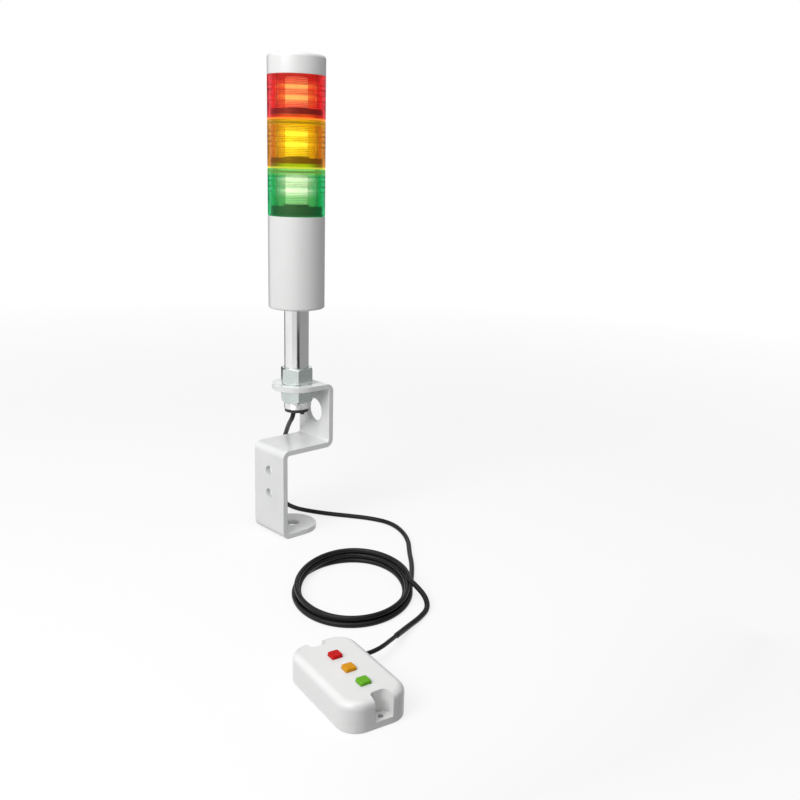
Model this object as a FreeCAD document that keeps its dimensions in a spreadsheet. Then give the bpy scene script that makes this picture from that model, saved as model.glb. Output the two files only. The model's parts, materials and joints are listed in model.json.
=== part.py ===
import FreeCAD, Part

import math
import os
import Sketcher

# Three-tier stack light on a folded bracket, with a corded three-button control box.
# Origin: centre of the bracket's foot hole, at the seat under the foot.  +Z is up, +X runs
# from the lower leg of the bracket towards its upper leg.  All sizes are millimetres.

Vector = FreeCAD.Vector
UP = Vector(0, 0, 1)

SIZES = (
    # the folded bracket
    ("plate", 4.5, "thickness of the bracket plate"),
    ("bracket_width", 45.0, "width of the bracket plate"),
    ("bend_radius", 2.5, "inside radius of the bends"),
    ("leg_offset", 26.0, "foot hole axis to the outside of the lower leg"),
    ("pole_offset", 5.5, "foot hole axis to the pole axis"),
    ("upper_leg_offset", 25.0, "pole axis to the outside of the upper leg"),
    ("step_height", 84.5, "top of the step"),
    ("flange_height", 140.0, "top of the pole flange"),
    ("foot_hole", 12.0, "diameter of the foot hole"),
    ("foot_chamfer", 1.0, "chamfer on the foot hole"),
    ("spare_hole_drop", 29.0, "flange top down to the hole in the upper leg"),
    ("leg_hole", 9.0, "diameter of the two holes in the lower leg"),
    ("leg_hole_pitch", 22.0, "distance between the two leg holes"),
    ("leg_hole_low", 39.5, "height of the lower leg hole"),
    # the pole and what holds it
    ("pole_diameter", 22.0, "outside of the pole"),
    ("pole_bore", 18.0, "inside of the pole"),
    ("pole_tail", 24.0, "flange top down to the lower end of the pole"),
    ("pole_reach", 69.5, "flange top up to the underside of the base body"),
    ("pole_socket", 22.0, "length of pole inside the base body"),
    ("pole_clearance", 0.25, "radial clearance of the pole in the bracket"),
    ("thread_clearance", 0.05, "radial clearance of threaded and push fits"),
    ("nut_flats", 27.0, "nut size across flats"),
    ("nut_thickness", 12.0, "thickness of the lower nut"),
    ("upper_nut_thickness", 15.0, "thickness of the upper nut"),
    ("bush_rim", 2.2, "rim of the bush below the pole end"),
    ("bush_bore", 12.0, "cable passage through the bush"),
    ("bush_spigot", 8.0, "length of the bush inside the pole"),
    # the tower
    ("tower_diameter", 50.0, "outside of the base body, lenses and cap"),
    ("body_height", 81.0, "height of the base body"),
    ("body_wall", 2.5, "wall of the base body"),
    ("body_floor", 5.0, "floor of the base body"),
    ("body_edge", 2.0, "rounding of the lower edge of the base body"),
    ("ledge_width", 2.0, "width of the ledges inside the base body"),
    ("ledge_depth", 2.0, "depth of the ledges inside the base body"),
    ("board_level", 46.0, "driver board seat above the underside of the base body"),
    ("lid_depth", 6.0, "length of the lid inside the base body"),
    ("tier_pitch", 40.0, "height of one light tier"),
    ("lens_wall", 2.2, "wall of a lens"),
    ("rim_land", 1.2, "seat width at the lower rim of a lens"),
    ("rim_recess", 1.4, "height of the seal recess"),
    ("seam_chamfer", 0.4, "chamfer of the seams between tiers"),
    ("neck_height", 4.5, "spigot that locates the next tier"),
    ("neck_wall", 1.6, "wall of that spigot"),
    ("neck_clearance", 0.4, "radial clearance of the spigot"),
    ("rib_pitch", 2.7, "spacing of the prism ribs inside a lens"),
    ("rib_depth", 0.7, "depth of the prism ribs"),
    ("divider_thickness", 4.5, "thickness of the disc under each light"),
    ("column_diameter", 19.5, "outside of the light column"),
    ("column_wall", 1.2, "wall of the light column"),
    ("column_height", 27.0, "height of the light column"),
    ("board_turn", 45.0, "turn of the LED boards about the pole axis"),
    ("led_board_width", 14.5, "width of an LED board"),
    ("board_thickness", 1.6, "thickness of every circuit board"),
    ("led_board_height", 24.0, "height of an LED board"),
    ("led_size", 3.0, "side of an LED"),
    ("led_depth", 1.0, "height of an LED off its board"),
    ("led_row_pitch", 8.9, "distance between the two LED rows"),
    ("led_row_low", 11.3, "lower LED row above the divider"),
    ("led_column_pitch", 4.6, "distance between LEDs in a row"),
    ("rod_diameter", 3.0, "diameter of a tie rod"),
    ("rod_radius", 17.5, "tower axis to a tie rod"),
    ("rod_head", 6.0, "diameter of a tie rod head"),
    ("rod_head_depth", 2.5, "height of a tie rod head"),
    ("rod_grip", 6.0, "length of a tie rod inside the cap boss"),
    ("cap_height", 13.0, "height of the cap"),
    ("cap_edge", 3.0, "rounding of the upper edge of the cap"),
    ("cap_dome", 0.6, "rise of the top of the cap"),
    # inside the base body
    ("collar_radius", 20.0, "radius of the pole collar flange"),
    ("collar_thickness", 4.0, "thickness of the pole collar flange"),
    ("collar_hub", 14.5, "radius of the pole collar hub"),
    ("collar_height", 14.0, "height of the pole collar"),
    ("collar_screw_radius", 17.3, "pole axis to a collar screw"),
    ("collar_screw", 3.0, "diameter of a collar screw"),
    ("collar_screw_head", 5.0, "head diameter of a collar screw"),
    ("terminal_height", 11.0, "height of the terminal block"),
    # the cable
    ("cable_diameter", 4.3, "outside of the cable"),
    ("pigtail_diameter", 3.2, "outside of the slim stretch at the box"),
    ("coil_length", 122.0, "outside of the coil, long way"),
    ("coil_breadth", 97.0, "outside of the coil, short way"),
    ("coil_band", 9.5, "width of the coil's bundle"),
    ("coil_height", 11.0, "height of the coil's bundle"),
    ("coil_east", -45.3, "centre of the coil along X"),
    ("coil_north", -143.0, "centre of the coil along Y"),
    ("coil_turn", 46.6, "direction of the long way of the coil"),
    # the control box
    ("box_east", -143.5, "centre of the control box along X"),
    ("box_north", -254.0, "centre of the control box along Y"),
    ("box_turn", 80.0, "direction of the long way of the control box"),
    ("box_length", 84.0, "length of the control box"),
    ("box_width", 47.0, "width of the control box"),
    ("box_height", 20.5, "height of the control box"),
    ("box_corner", 14.0, "corner radius of the control box"),
    ("box_edge", 5.0, "rounding of the top edge of the cover"),
    ("box_foot_edge", 1.0, "rounding of the bottom edge of the box"),
    ("box_split", 6.0, "height of the joint between base and cover"),
    ("box_wall", 2.0, "wall of the control box"),
    ("slot_wall", 6.5, "wall between the inside of the box and a fixing slot"),
    ("slot_width", 13.0, "width of the fixing slots at the box ends"),
    ("slot_depth", 9.0, "depth of the fixing slots at the box ends"),
    ("slot_shift", 2.6, "slot off the middle line of the box, to opposite sides at its ends"),
    ("slot_corner", 4.0, "corner radius of the fixing slots"),
    ("ear_thickness", 5.0, "thickness of the fixing ears"),
    ("ear_hole", 3.5, "diameter of the hole in each fixing ear"),
    ("box_screw_end", 11.0, "end of the box to a case screw"),
    ("box_screw_side", 9.0, "side of the box to a case screw"),
    ("box_screw", 2.4, "diameter of a case screw"),
    ("box_screw_head", 5.0, "head diameter of a case screw"),
    ("box_screw_recess", 2.6, "depth of the recess for a screw head"),
    ("box_screw_length", 10.0, "length of a case screw below its head"),
    ("hole_clearance", 0.2, "radial clearance of a screw in its hole"),
    ("post_height", 6.5, "height of the posts under the box board"),
    ("post_radius", 2.2, "radius of those posts"),
    ("post_end", 4.5, "end of the inside of the box to a post"),
    ("post_side", 8.5, "side of the inside of the box to a post"),
    ("box_board_gap_end", 0.5, "gap between the box board and each end wall"),
    ("box_board_gap_side", 4.5, "gap between the box board and each side wall"),
    ("button_size", 7.6, "side of a button"),
    ("button_corner", 1.0, "corner radius of a button"),
    ("button_end", 23.7, "end of the box to the middle of an outer button, before the shift"),
    ("button_shift", -2.3, "middle button along the box"),
    ("button_gap", 0.2, "gap around a button"),
    ("button_rise", 2.2, "height of a button above the cover"),
    ("button_lip", 10.0, "side of the lip that keeps a button in"),
    ("button_lip_depth", 1.0, "thickness of that lip"),
    ("button_stem", 4.0, "diameter of the stem under a button"),
    ("switch_size", 6.0, "side of a switch"),
    ("switch_height", 2.8, "height of a switch"),
    ("plunger", 3.4, "diameter of a switch plunger"),
    ("plunger_rise", 1.6, "plunger above its switch"),
    ("plunger_depth", 1.2, "plunger inside its switch"),
    ("switch_floor", 0.2, "floor under the plunger hole"),
    ("entry_end", 20.0, "end of the box to the cable entry"),
    ("entry_height", 11.0, "height of the cable entry"),
    ("gland_body", 5.8, "diameter of the gland in the wall"),
    ("gland_flange", 7.6, "diameter of the gland inside the wall"),
    ("gland_flange_depth", 1.2, "thickness of the gland flange"),
    ("gland_nose", 1.5, "length of the gland outside the wall"),
    ("gland_nose_root", 7.2, "diameter of the gland nose at the wall"),
    ("gland_nose_tip", 5.6, "diameter of the gland nose at its tip"),
    ("connector_reach", 12.0, "box centre line to the connector"),
    ("connector_depth", 6.0, "depth of the connector"),
    ("connector_width", 8.0, "width of the connector"),
    ("connector_height", 5.2, "height of the connector"),
)

COLOURS = ("green", "amber", "red")  # tiers from the bottom up
RIBS = 9  # prism ribs in a lens
ROD_SIDES = (1, -1)
END_SIDES = (1, -1)
CORNERS = ((1, 1), (1, -1), (-1, 1), (-1, -1))
COLLAR_SCREWS = 3
SCREW_TURN = 360.0 / COLLAR_SCREWS

# Levels and radii that several pieces share.
FLANGE_UNDER = "(Sizes.flange_height - Sizes.plate)"
POLE_END = "(Sizes.flange_height - Sizes.pole_tail)"
BODY_UNDER = "(Sizes.flange_height + Sizes.pole_reach)"
TOWER_BASE = "(" + BODY_UNDER + " + Sizes.body_height)"
CAP_BASE = "(" + TOWER_BASE + " + 3 * Sizes.tier_pitch)"
TOWER_RADIUS = "(Sizes.tower_diameter / 2)"
POLE_RADIUS = "(Sizes.pole_diameter / 2)"
LENS_INSIDE = "(Sizes.tower_diameter / 2 - Sizes.lens_wall)"
NECK_RADIUS = "(Sizes.tower_diameter / 2 - Sizes.lens_wall - Sizes.neck_clearance)"
RIM_RADIUS = "(Sizes.tower_diameter / 2 - Sizes.rim_land)"
BODY_INSIDE = "(Sizes.tower_diameter / 2 - Sizes.body_wall)"
DIVIDER_TOP = "(Sizes.neck_height + Sizes.divider_thickness)"
BOX_BOARD_TOP = "(Sizes.post_height + Sizes.board_thickness)"
SWITCH_TOP = "(" + BOX_BOARD_TOP + " + Sizes.switch_height)"
CEILING = "(Sizes.box_height - Sizes.box_wall)"
SLOT_CENTRE = "(Sizes.box_length / 2 - Sizes.slot_depth / 2)"
CAVITY_LENGTH = "(Sizes.box_length - 2 * Sizes.slot_depth - 2 * Sizes.slot_wall)"
BUTTON_PITCH = "(Sizes.box_length / 2 - Sizes.button_end)"
CAVITY_WIDTH = "(Sizes.box_width - 2 * Sizes.box_wall)"
BOX_SCREW_X = "(Sizes.box_length / 2 - Sizes.box_screw_end)"
BOX_SCREW_Y = "(Sizes.box_width / 2 - Sizes.box_screw_side)"
ENTRY_X = "(Sizes.box_length / 2 - Sizes.entry_end)"
EAR_DROP = "(Sizes.box_split - Sizes.ear_thickness)"

document = FreeCAD.newDocument("stack_light")
sizes = document.addObject("Spreadsheet::Sheet", "Sizes")
sub_parts = []


def fill_sheet():
    """Write every driving dimension and its note into the spreadsheet."""
    for row, (alias, value, note) in enumerate(SIZES, start=1):
        sizes.set(f"A{row}", note)
        sizes.set(f"B{row}", str(value))
        sizes.setAlias(f"B{row}", alias)
    document.recompute()


def value(expression):
    """Number that an expression on the sheet gives now."""
    return float(sizes.evalExpression(expression))


def bind(thing, expressions):
    """Tie properties of an object to expressions."""
    for name, expression in expressions.items():
        thing.setExpression(name, expression)


def sub_part(thing, label, x="0", y="0", z="0", turn="0"):
    """Name a finished piece, place it in the row frame and keep it for export."""
    thing.Label = label
    thing.Placement = FreeCAD.Placement(Vector(), FreeCAD.Rotation(UP, value(turn)))
    bind(thing, {
        "Placement.Base.x": x,
        "Placement.Base.y": y,
        "Placement.Base.z": z,
        "Placement.Rotation.Angle": turn,
    })
    sub_parts.append(thing)
    document.recompute()
    return thing


def in_tower(thing, label, z, turn="0"):
    """Finished piece on the pole axis."""
    return sub_part(thing, label, x="Sizes.pole_offset", z=z, turn=turn)


def in_box(thing, label, z="0"):
    """Finished piece drawn about the centre of the control box."""
    return sub_part(thing, label, x="Sizes.box_east", y="Sizes.box_north", z=z, turn="Sizes.box_turn")


# ---- small building blocks -------------------------------------------------------------


def cylinder(radius, height, x="0", y="0", z="0"):
    """Upright cylinder."""
    thing = document.addObject("Part::Cylinder", "Cylinder")
    bind(thing, {
        "Radius": radius,
        "Height": height,
        "Placement.Base.x": x,
        "Placement.Base.y": y,
        "Placement.Base.z": z,
    })
    return thing


def block(length, width, height, x="0", y="0", z="0"):
    """Upright block centred on x and y."""
    thing = document.addObject("Part::Box", "Block")
    bind(thing, {
        "Length": length,
        "Width": width,
        "Height": height,
        "Placement.Base.x": f"{x} - ({length}) / 2",
        "Placement.Base.y": f"{y} - ({width}) / 2",
        "Placement.Base.z": z,
    })
    return thing


def cut(base, tool):
    """Base with the tool taken away."""
    thing = document.addObject("Part::Cut", "Cut")
    thing.Base = base
    thing.Tool = tool
    return thing


def joined(pieces):
    """Pieces fused into one solid."""
    thing = document.addObject("Part::MultiFuse", "Joined")
    thing.Shapes = pieces
    return thing


def group(pieces):
    """Separate solids that share one node."""
    thing = document.addObject("Part::Compound", "Group")
    thing.Links = pieces
    return thing


def new_body(name):
    """Empty part design body."""
    return document.addObject("PartDesign::Body", name)


def sketch_on(body, role, offset="0"):
    """Sketch on one of the body's own origin planes, moved along its normal by an offset."""
    sketch = body.newObject("Sketcher::SketchObject", body.Name + "_sketch")
    plane = [face for face in body.Origin.OriginFeatures if face.Role == role][0]
    sketch.AttachmentSupport = [(plane, "")]
    sketch.MapMode = "FlatFace"
    sketch.setExpression("AttachmentOffset.Base.z", offset)
    document.recompute()
    return sketch


def hold_point(sketch, geometry, point, name, x, y):
    """Hold one point of a sketch at the place that two expressions give."""
    for axis, expression in (("X", x), ("Y", y)):
        datum = value(expression)
        constraint = Sketcher.Constraint("Distance" + axis, -1, 1, geometry, point, datum)
        number = sketch.addConstraint(constraint)
        sketch.renameConstraint(number, name + axis)
        sketch.setExpression(f"Constraints.{name}{axis}", expression)


def outline(sketch, points):
    """Closed outline through points, each given as two expressions."""
    start = sketch.GeometryCount
    places = [Vector(value(x), value(y), 0) for x, y in points]
    count = len(points)
    for number in range(count):
        line = Part.LineSegment(places[number], places[(number + 1) % count])
        sketch.addGeometry(line, False)
    for number in range(count):
        follower = start + (number + 1) % count
        sketch.addConstraint(Sketcher.Constraint("Coincident", start + number, 2, follower, 1))
    for number, (x, y) in enumerate(points):
        hold_point(sketch, start + number, 1, f"corner{start + number}", x, y)


def circle(sketch, radius, x="0", y="0"):
    """Circle with its centre and radius held by expressions."""
    number = sketch.GeometryCount
    centre = Vector(value(x), value(y), 0)
    sketch.addGeometry(Part.Circle(centre, UP, value(radius)), False)
    hold_point(sketch, number, 3, f"centre{number}", x, y)
    constraint = sketch.addConstraint(Sketcher.Constraint("Radius", number, value(radius)))
    sketch.renameConstraint(constraint, f"radius{number}")
    sketch.setExpression(f"Constraints.radius{number}", radius)


def rectangle(sketch, length, width, x="0", y="0"):
    """Rectangle about a centre."""
    corners = ((-1, -1), (1, -1), (1, 1), (-1, 1))
    points = [
        (f"{x} + {side_x} * ({length}) / 2", f"{y} + {side_y} * ({width}) / 2")
        for side_x, side_y in corners
    ]
    outline(sketch, points)


def pad(body, sketch, length, reverse=False, both_ways=False):
    """Solid grown from a sketch."""
    feature = body.newObject("PartDesign::Pad", body.Name + "_pad")
    feature.Profile = sketch
    feature.setExpression("Length", length)
    feature.Reversed = reverse
    if both_ways:
        feature.SideType = "Symmetric"
    document.recompute()
    return feature


def pocket(body, sketch, depth, reverse=False):
    """Hollow cut from a sketch, which has to take material away."""
    before = body.Shape.Volume
    feature = body.newObject("PartDesign::Pocket", body.Name + "_pocket")
    feature.Profile = sketch
    feature.setExpression("Length", depth)
    feature.Reversed = reverse
    document.recompute()
    if feature.Shape.Volume >= before:
        raise RuntimeError(body.Name + ": a pocket cuts nothing")
    return feature


def revolved(name, points):
    """Body turned about Z from an outline of radius and height."""
    body = new_body(name)
    sketch = sketch_on(body, "XZ_Plane")
    outline(sketch, points)
    feature = body.newObject("PartDesign::Revolution", name + "_turned")
    feature.Profile = sketch
    feature.ReferenceAxis = (sketch, ["V_Axis"])
    feature.Angle = 360.0
    document.recompute()
    return body


def edges(feature, wanted):
    """Names of the edges of a feature that pass a test."""
    return [f"Edge{n}" for n, edge in enumerate(feature.Shape.Edges, start=1) if wanted(edge)]


def dress(body, kind, size, wanted):
    """Fillet or chamfer on the edges of the body's last feature that pass a test."""
    tip = body.Tip
    feature = body.newObject("PartDesign::" + kind, body.Name + "_" + kind.lower())
    feature.Base = (tip, edges(tip, wanted))
    feature.setExpression("Radius" if kind == "Fillet" else "Size", size)
    document.recompute()
    return feature


def flat_at(height):
    """Test for edges that lie wholly at one height."""
    level = value(height)

    def wanted(edge):
        box = edge.BoundBox
        return abs(box.ZMin - level) < 1e-4 and abs(box.ZMax - level) < 1e-4

    return wanted


def ring_at(radius, height):
    """Test for the full circles of one radius about Z at one height."""
    size = value(radius)
    level = flat_at(height)

    def wanted(edge):
        return level(edge) and isinstance(edge.Curve, Part.Circle) and abs(edge.Curve.Radius - size) < 1e-4

    return wanted


def upright(edge):
    """Test for straight edges along Z."""
    return isinstance(edge.Curve, Part.Line) and abs(abs(edge.Curve.Direction.z) - 1) < 1e-6


def across(x, z):
    """Test for straight edges along Y through one point of the side view."""
    place = (value(x), value(z))

    def wanted(edge):
        if not isinstance(edge.Curve, Part.Line) or abs(abs(edge.Curve.Direction.y) - 1) > 1e-6:
            return False
        middle = edge.CenterOfMass
        return math.hypot(middle.x - place[0], middle.z - place[1]) < 1e-4

    return wanted


# ---- bracket, pole and fasteners -------------------------------------------------------


def make_bracket():
    """Plate folded five ways: foot, lower leg, step, upper leg and pole flange."""
    outer = "(Sizes.pole_offset + Sizes.upper_leg_offset)"
    inner = "(Sizes.pole_offset + Sizes.upper_leg_offset - Sizes.plate)"
    leg_inner = "(Sizes.plate - Sizes.leg_offset)"
    foot_tip = "(Sizes.bracket_width / 2)"
    flange_tip = "(Sizes.pole_offset - Sizes.bracket_width / 2)"
    step_under = "(Sizes.step_height - Sizes.plate)"
    body = new_body("Bracket")
    profile = sketch_on(body, "XZ_Plane")
    outline(profile, [
        (foot_tip, "0"),
        ("-Sizes.leg_offset", "0"),
        ("-Sizes.leg_offset", "Sizes.step_height"),
        (inner, "Sizes.step_height"),
        (inner, FLANGE_UNDER),
        (flange_tip, FLANGE_UNDER),
        (flange_tip, "Sizes.flange_height"),
        (outer, "Sizes.flange_height"),
        (outer, step_under),
        (leg_inner, step_under),
        (leg_inner, "Sizes.plate"),
        (foot_tip, "Sizes.plate"),
    ])
    pad(body, profile, "Sizes.bracket_width", both_ways=True)
    outer_bends = [
        across("-Sizes.leg_offset", "0"),
        across("-Sizes.leg_offset", "Sizes.step_height"),
        across(outer, "Sizes.flange_height"),
        across(outer, step_under),
    ]
    dress(body, "Fillet", "Sizes.bend_radius + Sizes.plate", lambda e: any(test(e) for test in outer_bends))
    inner_bends = [
        across(inner, "Sizes.step_height"),
        across(inner, FLANGE_UNDER),
        across(leg_inner, step_under),
        across(leg_inner, "Sizes.plate"),
    ]
    dress(body, "Fillet", "Sizes.bend_radius", lambda e: any(test(e) for test in inner_bends))
    tips = (value(foot_tip), value(flange_tip))

    def at_tip(edge):
        return upright(edge) and min(abs(edge.CenterOfMass.x - tip) for tip in tips) < 1e-4

    dress(body, "Fillet", "Sizes.bracket_width / 2 - 0.05", at_tip)
    foot_hole = sketch_on(body, "XY_Plane", "Sizes.plate")
    circle(foot_hole, "Sizes.foot_hole / 2")
    pocket(body, foot_hole, "Sizes.plate")
    pole_hole = sketch_on(body, "XY_Plane", "Sizes.flange_height")
    circle(pole_hole, POLE_RADIUS + " + Sizes.pole_clearance", x="Sizes.pole_offset")
    pocket(body, pole_hole, "Sizes.plate")
    spare_hole = sketch_on(body, "YZ_Plane", outer)
    circle(spare_hole, POLE_RADIUS + " + Sizes.pole_clearance", y="Sizes.flange_height - Sizes.spare_hole_drop")
    pocket(body, spare_hole, "Sizes.plate")
    leg_holes = sketch_on(body, "YZ_Plane", "-Sizes.leg_offset")
    circle(leg_holes, "Sizes.leg_hole / 2", y="Sizes.leg_hole_low")
    circle(leg_holes, "Sizes.leg_hole / 2", y="Sizes.leg_hole_low + Sizes.leg_hole_pitch")
    pocket(body, leg_holes, "Sizes.plate", reverse=True)
    dress(body, "Chamfer", "Sizes.foot_chamfer", ring_at("Sizes.foot_hole / 2", "Sizes.plate"))
    return sub_part(body, "bracket")


def make_pole():
    """Steel tube with chamfered ends."""
    length = f"({BODY_UNDER} + Sizes.pole_socket - {POLE_END})"
    inside = "(Sizes.pole_bore / 2)"
    chamfer = "0.6"
    body = revolved("Pole", [
        (inside, "0"),
        (f"{POLE_RADIUS} - {chamfer}", "0"),
        (POLE_RADIUS, chamfer),
        (POLE_RADIUS, f"{length} - {chamfer}"),
        (f"{POLE_RADIUS} - {chamfer}", length),
        (inside, length),
    ])
    return in_tower(body, "pole", POLE_END)


def make_nut(label, thickness, z):
    """Hexagon nut with both faces chamfered, threaded on the pole."""
    prism = document.addObject("Part::Prism", "Hexagon")
    prism.Polygon = 6
    bind(prism, {"Circumradius": "Sizes.nut_flats / 2 / cos(30)", "Height": thickness})
    face = "(Sizes.nut_flats / 2 - 0.2)"
    spread = f"({face} + {thickness} / tan(30))"
    upper = document.addObject("Part::Cone", "Upper_chamfer")
    bind(upper, {"Radius1": spread, "Radius2": face, "Height": thickness})
    lower = document.addObject("Part::Cone", "Lower_chamfer")
    bind(lower, {"Radius1": face, "Radius2": spread, "Height": thickness})
    blank = document.addObject("Part::MultiCommon", "Blank")
    blank.Shapes = [prism, upper, lower]
    bore = cylinder(f"{POLE_RADIUS} + Sizes.thread_clearance", thickness)
    return in_tower(cut(blank, bore), label, z)


def make_bush():
    """Plastic bush that lines the lower end of the pole, with a small tab under its rim."""
    inside = "(Sizes.bush_bore / 2)"
    spigot = "(Sizes.pole_bore / 2 - Sizes.thread_clearance)"
    top = "(Sizes.bush_rim + Sizes.bush_spigot)"
    body = revolved("Bush", [
        (inside, "0"),
        (POLE_RADIUS, "0"),
        (POLE_RADIUS, "Sizes.bush_rim"),
        (spigot, "Sizes.bush_rim"),
        (spigot, top),
        (inside, top),
    ])
    tab = sketch_on(body, "XY_Plane")
    rectangle(tab, "3", "2.6", y=f"-({POLE_RADIUS} + {inside}) / 2")
    pad(body, tab, "1.8", reverse=True)
    return in_tower(body, "pole_bush", f"{POLE_END} - Sizes.bush_rim")


# ---- base body -------------------------------------------------------------------------


def make_base_body():
    """Plastic cup with a thick floor and two ledges, one for the lid and one for the board."""
    ledge = f"({BODY_INSIDE} - Sizes.ledge_width)"
    lid_seat = "(Sizes.body_height - Sizes.lid_depth)"
    inside = f"({POLE_RADIUS} + Sizes.thread_clearance)"
    points = [
        (inside, "0"),
        (TOWER_RADIUS, "0"),
        (TOWER_RADIUS, "Sizes.body_height - Sizes.seam_chamfer"),
        (f"{TOWER_RADIUS} - Sizes.seam_chamfer", "Sizes.body_height"),
        (BODY_INSIDE, "Sizes.body_height"),
    ]
    for seat in (lid_seat, "Sizes.board_level"):
        points += [
            (BODY_INSIDE, seat),
            (ledge, seat),
            (ledge, f"{seat} - Sizes.ledge_depth"),
            (BODY_INSIDE, f"{seat} - Sizes.ledge_depth - Sizes.ledge_width"),
        ]
    points += [(BODY_INSIDE, "Sizes.body_floor"), (inside, "Sizes.body_floor")]
    body = revolved("Base_body", points)
    dress(body, "Fillet", "Sizes.body_edge", ring_at(TOWER_RADIUS, "0"))
    hole = sketch_on(body, "XY_Plane", "Sizes.body_floor")
    circle(hole, "Sizes.collar_screw / 2 + Sizes.thread_clearance", x="Sizes.collar_screw_radius")
    drilled = pocket(body, hole, "Sizes.body_floor - 1")
    pattern = body.newObject("PartDesign::PolarPattern", "Screw_holes")
    pattern.Originals = [drilled]
    pattern.Axis = (hole, ["N_Axis"])
    pattern.Angle = 360.0
    pattern.Occurrences = COLLAR_SCREWS
    body.Tip = pattern
    document.recompute()
    return in_tower(body, "base_body", BODY_UNDER)


def make_pole_collar():
    """Collar that fastens the pole to the floor of the base body."""
    inside = f"({POLE_RADIUS} + Sizes.thread_clearance)"
    body = revolved("Pole_collar", [
        (inside, "0"),
        ("Sizes.collar_radius", "0"),
        ("Sizes.collar_radius", "Sizes.collar_thickness"),
        ("Sizes.collar_hub", "Sizes.collar_thickness"),
        ("Sizes.collar_hub", "Sizes.collar_height"),
        (inside, "Sizes.collar_height"),
    ])
    holes = sketch_on(body, "XY_Plane", "Sizes.collar_thickness")
    for number in range(COLLAR_SCREWS):
        angle = number * SCREW_TURN
        x = f"Sizes.collar_screw_radius * cos({angle})"
        y = f"Sizes.collar_screw_radius * sin({angle})"
        circle(holes, "Sizes.collar_screw / 2 + Sizes.hole_clearance", x=x, y=y)
    pocket(body, holes, "Sizes.collar_thickness")
    return in_tower(body, "pole_collar", f"{BODY_UNDER} + Sizes.body_floor")


def make_collar_screws():
    """Screws that hold the collar to the floor."""
    shank = "(Sizes.collar_thickness + Sizes.body_floor - 1.5)"
    screws = []
    for number in range(COLLAR_SCREWS):
        angle = number * SCREW_TURN
        x = f"Sizes.collar_screw_radius * cos({angle})"
        y = f"Sizes.collar_screw_radius * sin({angle})"
        stem = cylinder("Sizes.collar_screw / 2", shank, x=x, y=y, z="-" + shank)
        head = cylinder("Sizes.collar_screw_head / 2", "2", x=x, y=y)
        screws.append(joined([stem, head]))
    level = f"{BODY_UNDER} + Sizes.body_floor + Sizes.collar_thickness"
    return in_tower(group(screws), "collar_screws", level)


def make_driver_board():
    """Round circuit board on the lower ledge of the base body."""
    disc = cylinder(f"{BODY_INSIDE} - Sizes.hole_clearance", "Sizes.board_thickness")
    hole = cylinder("3", "Sizes.board_thickness")
    return in_tower(cut(disc, hole), "driver_board", f"{BODY_UNDER} + Sizes.board_level")


def make_driver_parts():
    """Components on top of the driver board."""
    parts = [
        cylinder("4", "11", x="-11", y="8"),
        cylinder("4", "11", x="-11", y="-4"),
        block("10", "8", "9", x="11", y="8"),
        block("10", "8", "9", x="11", y="-3"),
        block("8", "5", "1.6", x="0", y="-13"),
    ]
    level = f"{BODY_UNDER} + Sizes.board_level + Sizes.board_thickness"
    return in_tower(group(parts), "driver_parts", level)


def make_terminal_block():
    """Terminal block under the driver board, where the cable ends."""
    housing = block("18", "10", "Sizes.terminal_height")
    level = f"{BODY_UNDER} + Sizes.board_level - Sizes.terminal_height"
    return in_tower(group([housing]), "terminal_block", level)


def make_body_lid():
    """Dark plug that closes the base body and carries the light tiers."""
    inside = f"({NECK_RADIUS} - Sizes.neck_wall)"
    plate_under = "(Sizes.neck_height - 2.5)"
    body = revolved("Body_lid", [
        (inside, "-Sizes.lid_depth"),
        (NECK_RADIUS, "-Sizes.lid_depth"),
        (NECK_RADIUS, "Sizes.neck_height"),
        ("4", "Sizes.neck_height"),
        ("4", plate_under),
        (inside, plate_under),
    ])
    drill_rod_holes(body, "Sizes.neck_height", "2.5")
    return in_tower(body, "body_lid", TOWER_BASE)


def drill_rod_holes(body, top, depth):
    """Holes for the two tie rods, cut down from a level."""
    holes = sketch_on(body, "XY_Plane", top)
    for side in ROD_SIDES:
        x = f"{side} * Sizes.rod_radius * cos(Sizes.board_turn)"
        y = f"{-side} * Sizes.rod_radius * sin(Sizes.board_turn)"
        circle(holes, "Sizes.rod_diameter / 2 + Sizes.hole_clearance", x=x, y=y)
    return pocket(body, holes, depth)


# ---- light tiers -----------------------------------------------------------------------


def lens_outline():
    """Half section of a lens: smooth outside, prism ribs inside, spigot on top."""
    neck_inside = f"({NECK_RADIUS} - Sizes.neck_wall)"
    neck_top = "(Sizes.tier_pitch + Sizes.neck_height)"
    points = [
        (RIM_RADIUS, "0"),
        (f"{TOWER_RADIUS} - Sizes.seam_chamfer", "0"),
        (TOWER_RADIUS, "Sizes.seam_chamfer"),
        (TOWER_RADIUS, "Sizes.tier_pitch - Sizes.seam_chamfer"),
        (f"{TOWER_RADIUS} - Sizes.seam_chamfer", "Sizes.tier_pitch"),
        (NECK_RADIUS, "Sizes.tier_pitch"),
        (NECK_RADIUS, neck_top),
        (neck_inside, neck_top),
        (neck_inside, "Sizes.tier_pitch - 1.5"),
        (LENS_INSIDE, "Sizes.tier_pitch - 3.5"),
    ]
    for number in range(RIBS, 0, -1):
        foot = f"({DIVIDER_TOP} + 1 + {number - 1} * Sizes.rib_pitch)"
        points.append((f"{LENS_INSIDE} - Sizes.rib_depth", f"{foot} + Sizes.rib_pitch - 0.5"))
        points.append((LENS_INSIDE, foot))
    points += [(LENS_INSIDE, "Sizes.rim_recess"), (RIM_RADIUS, "Sizes.rim_recess")]
    return points


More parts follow.
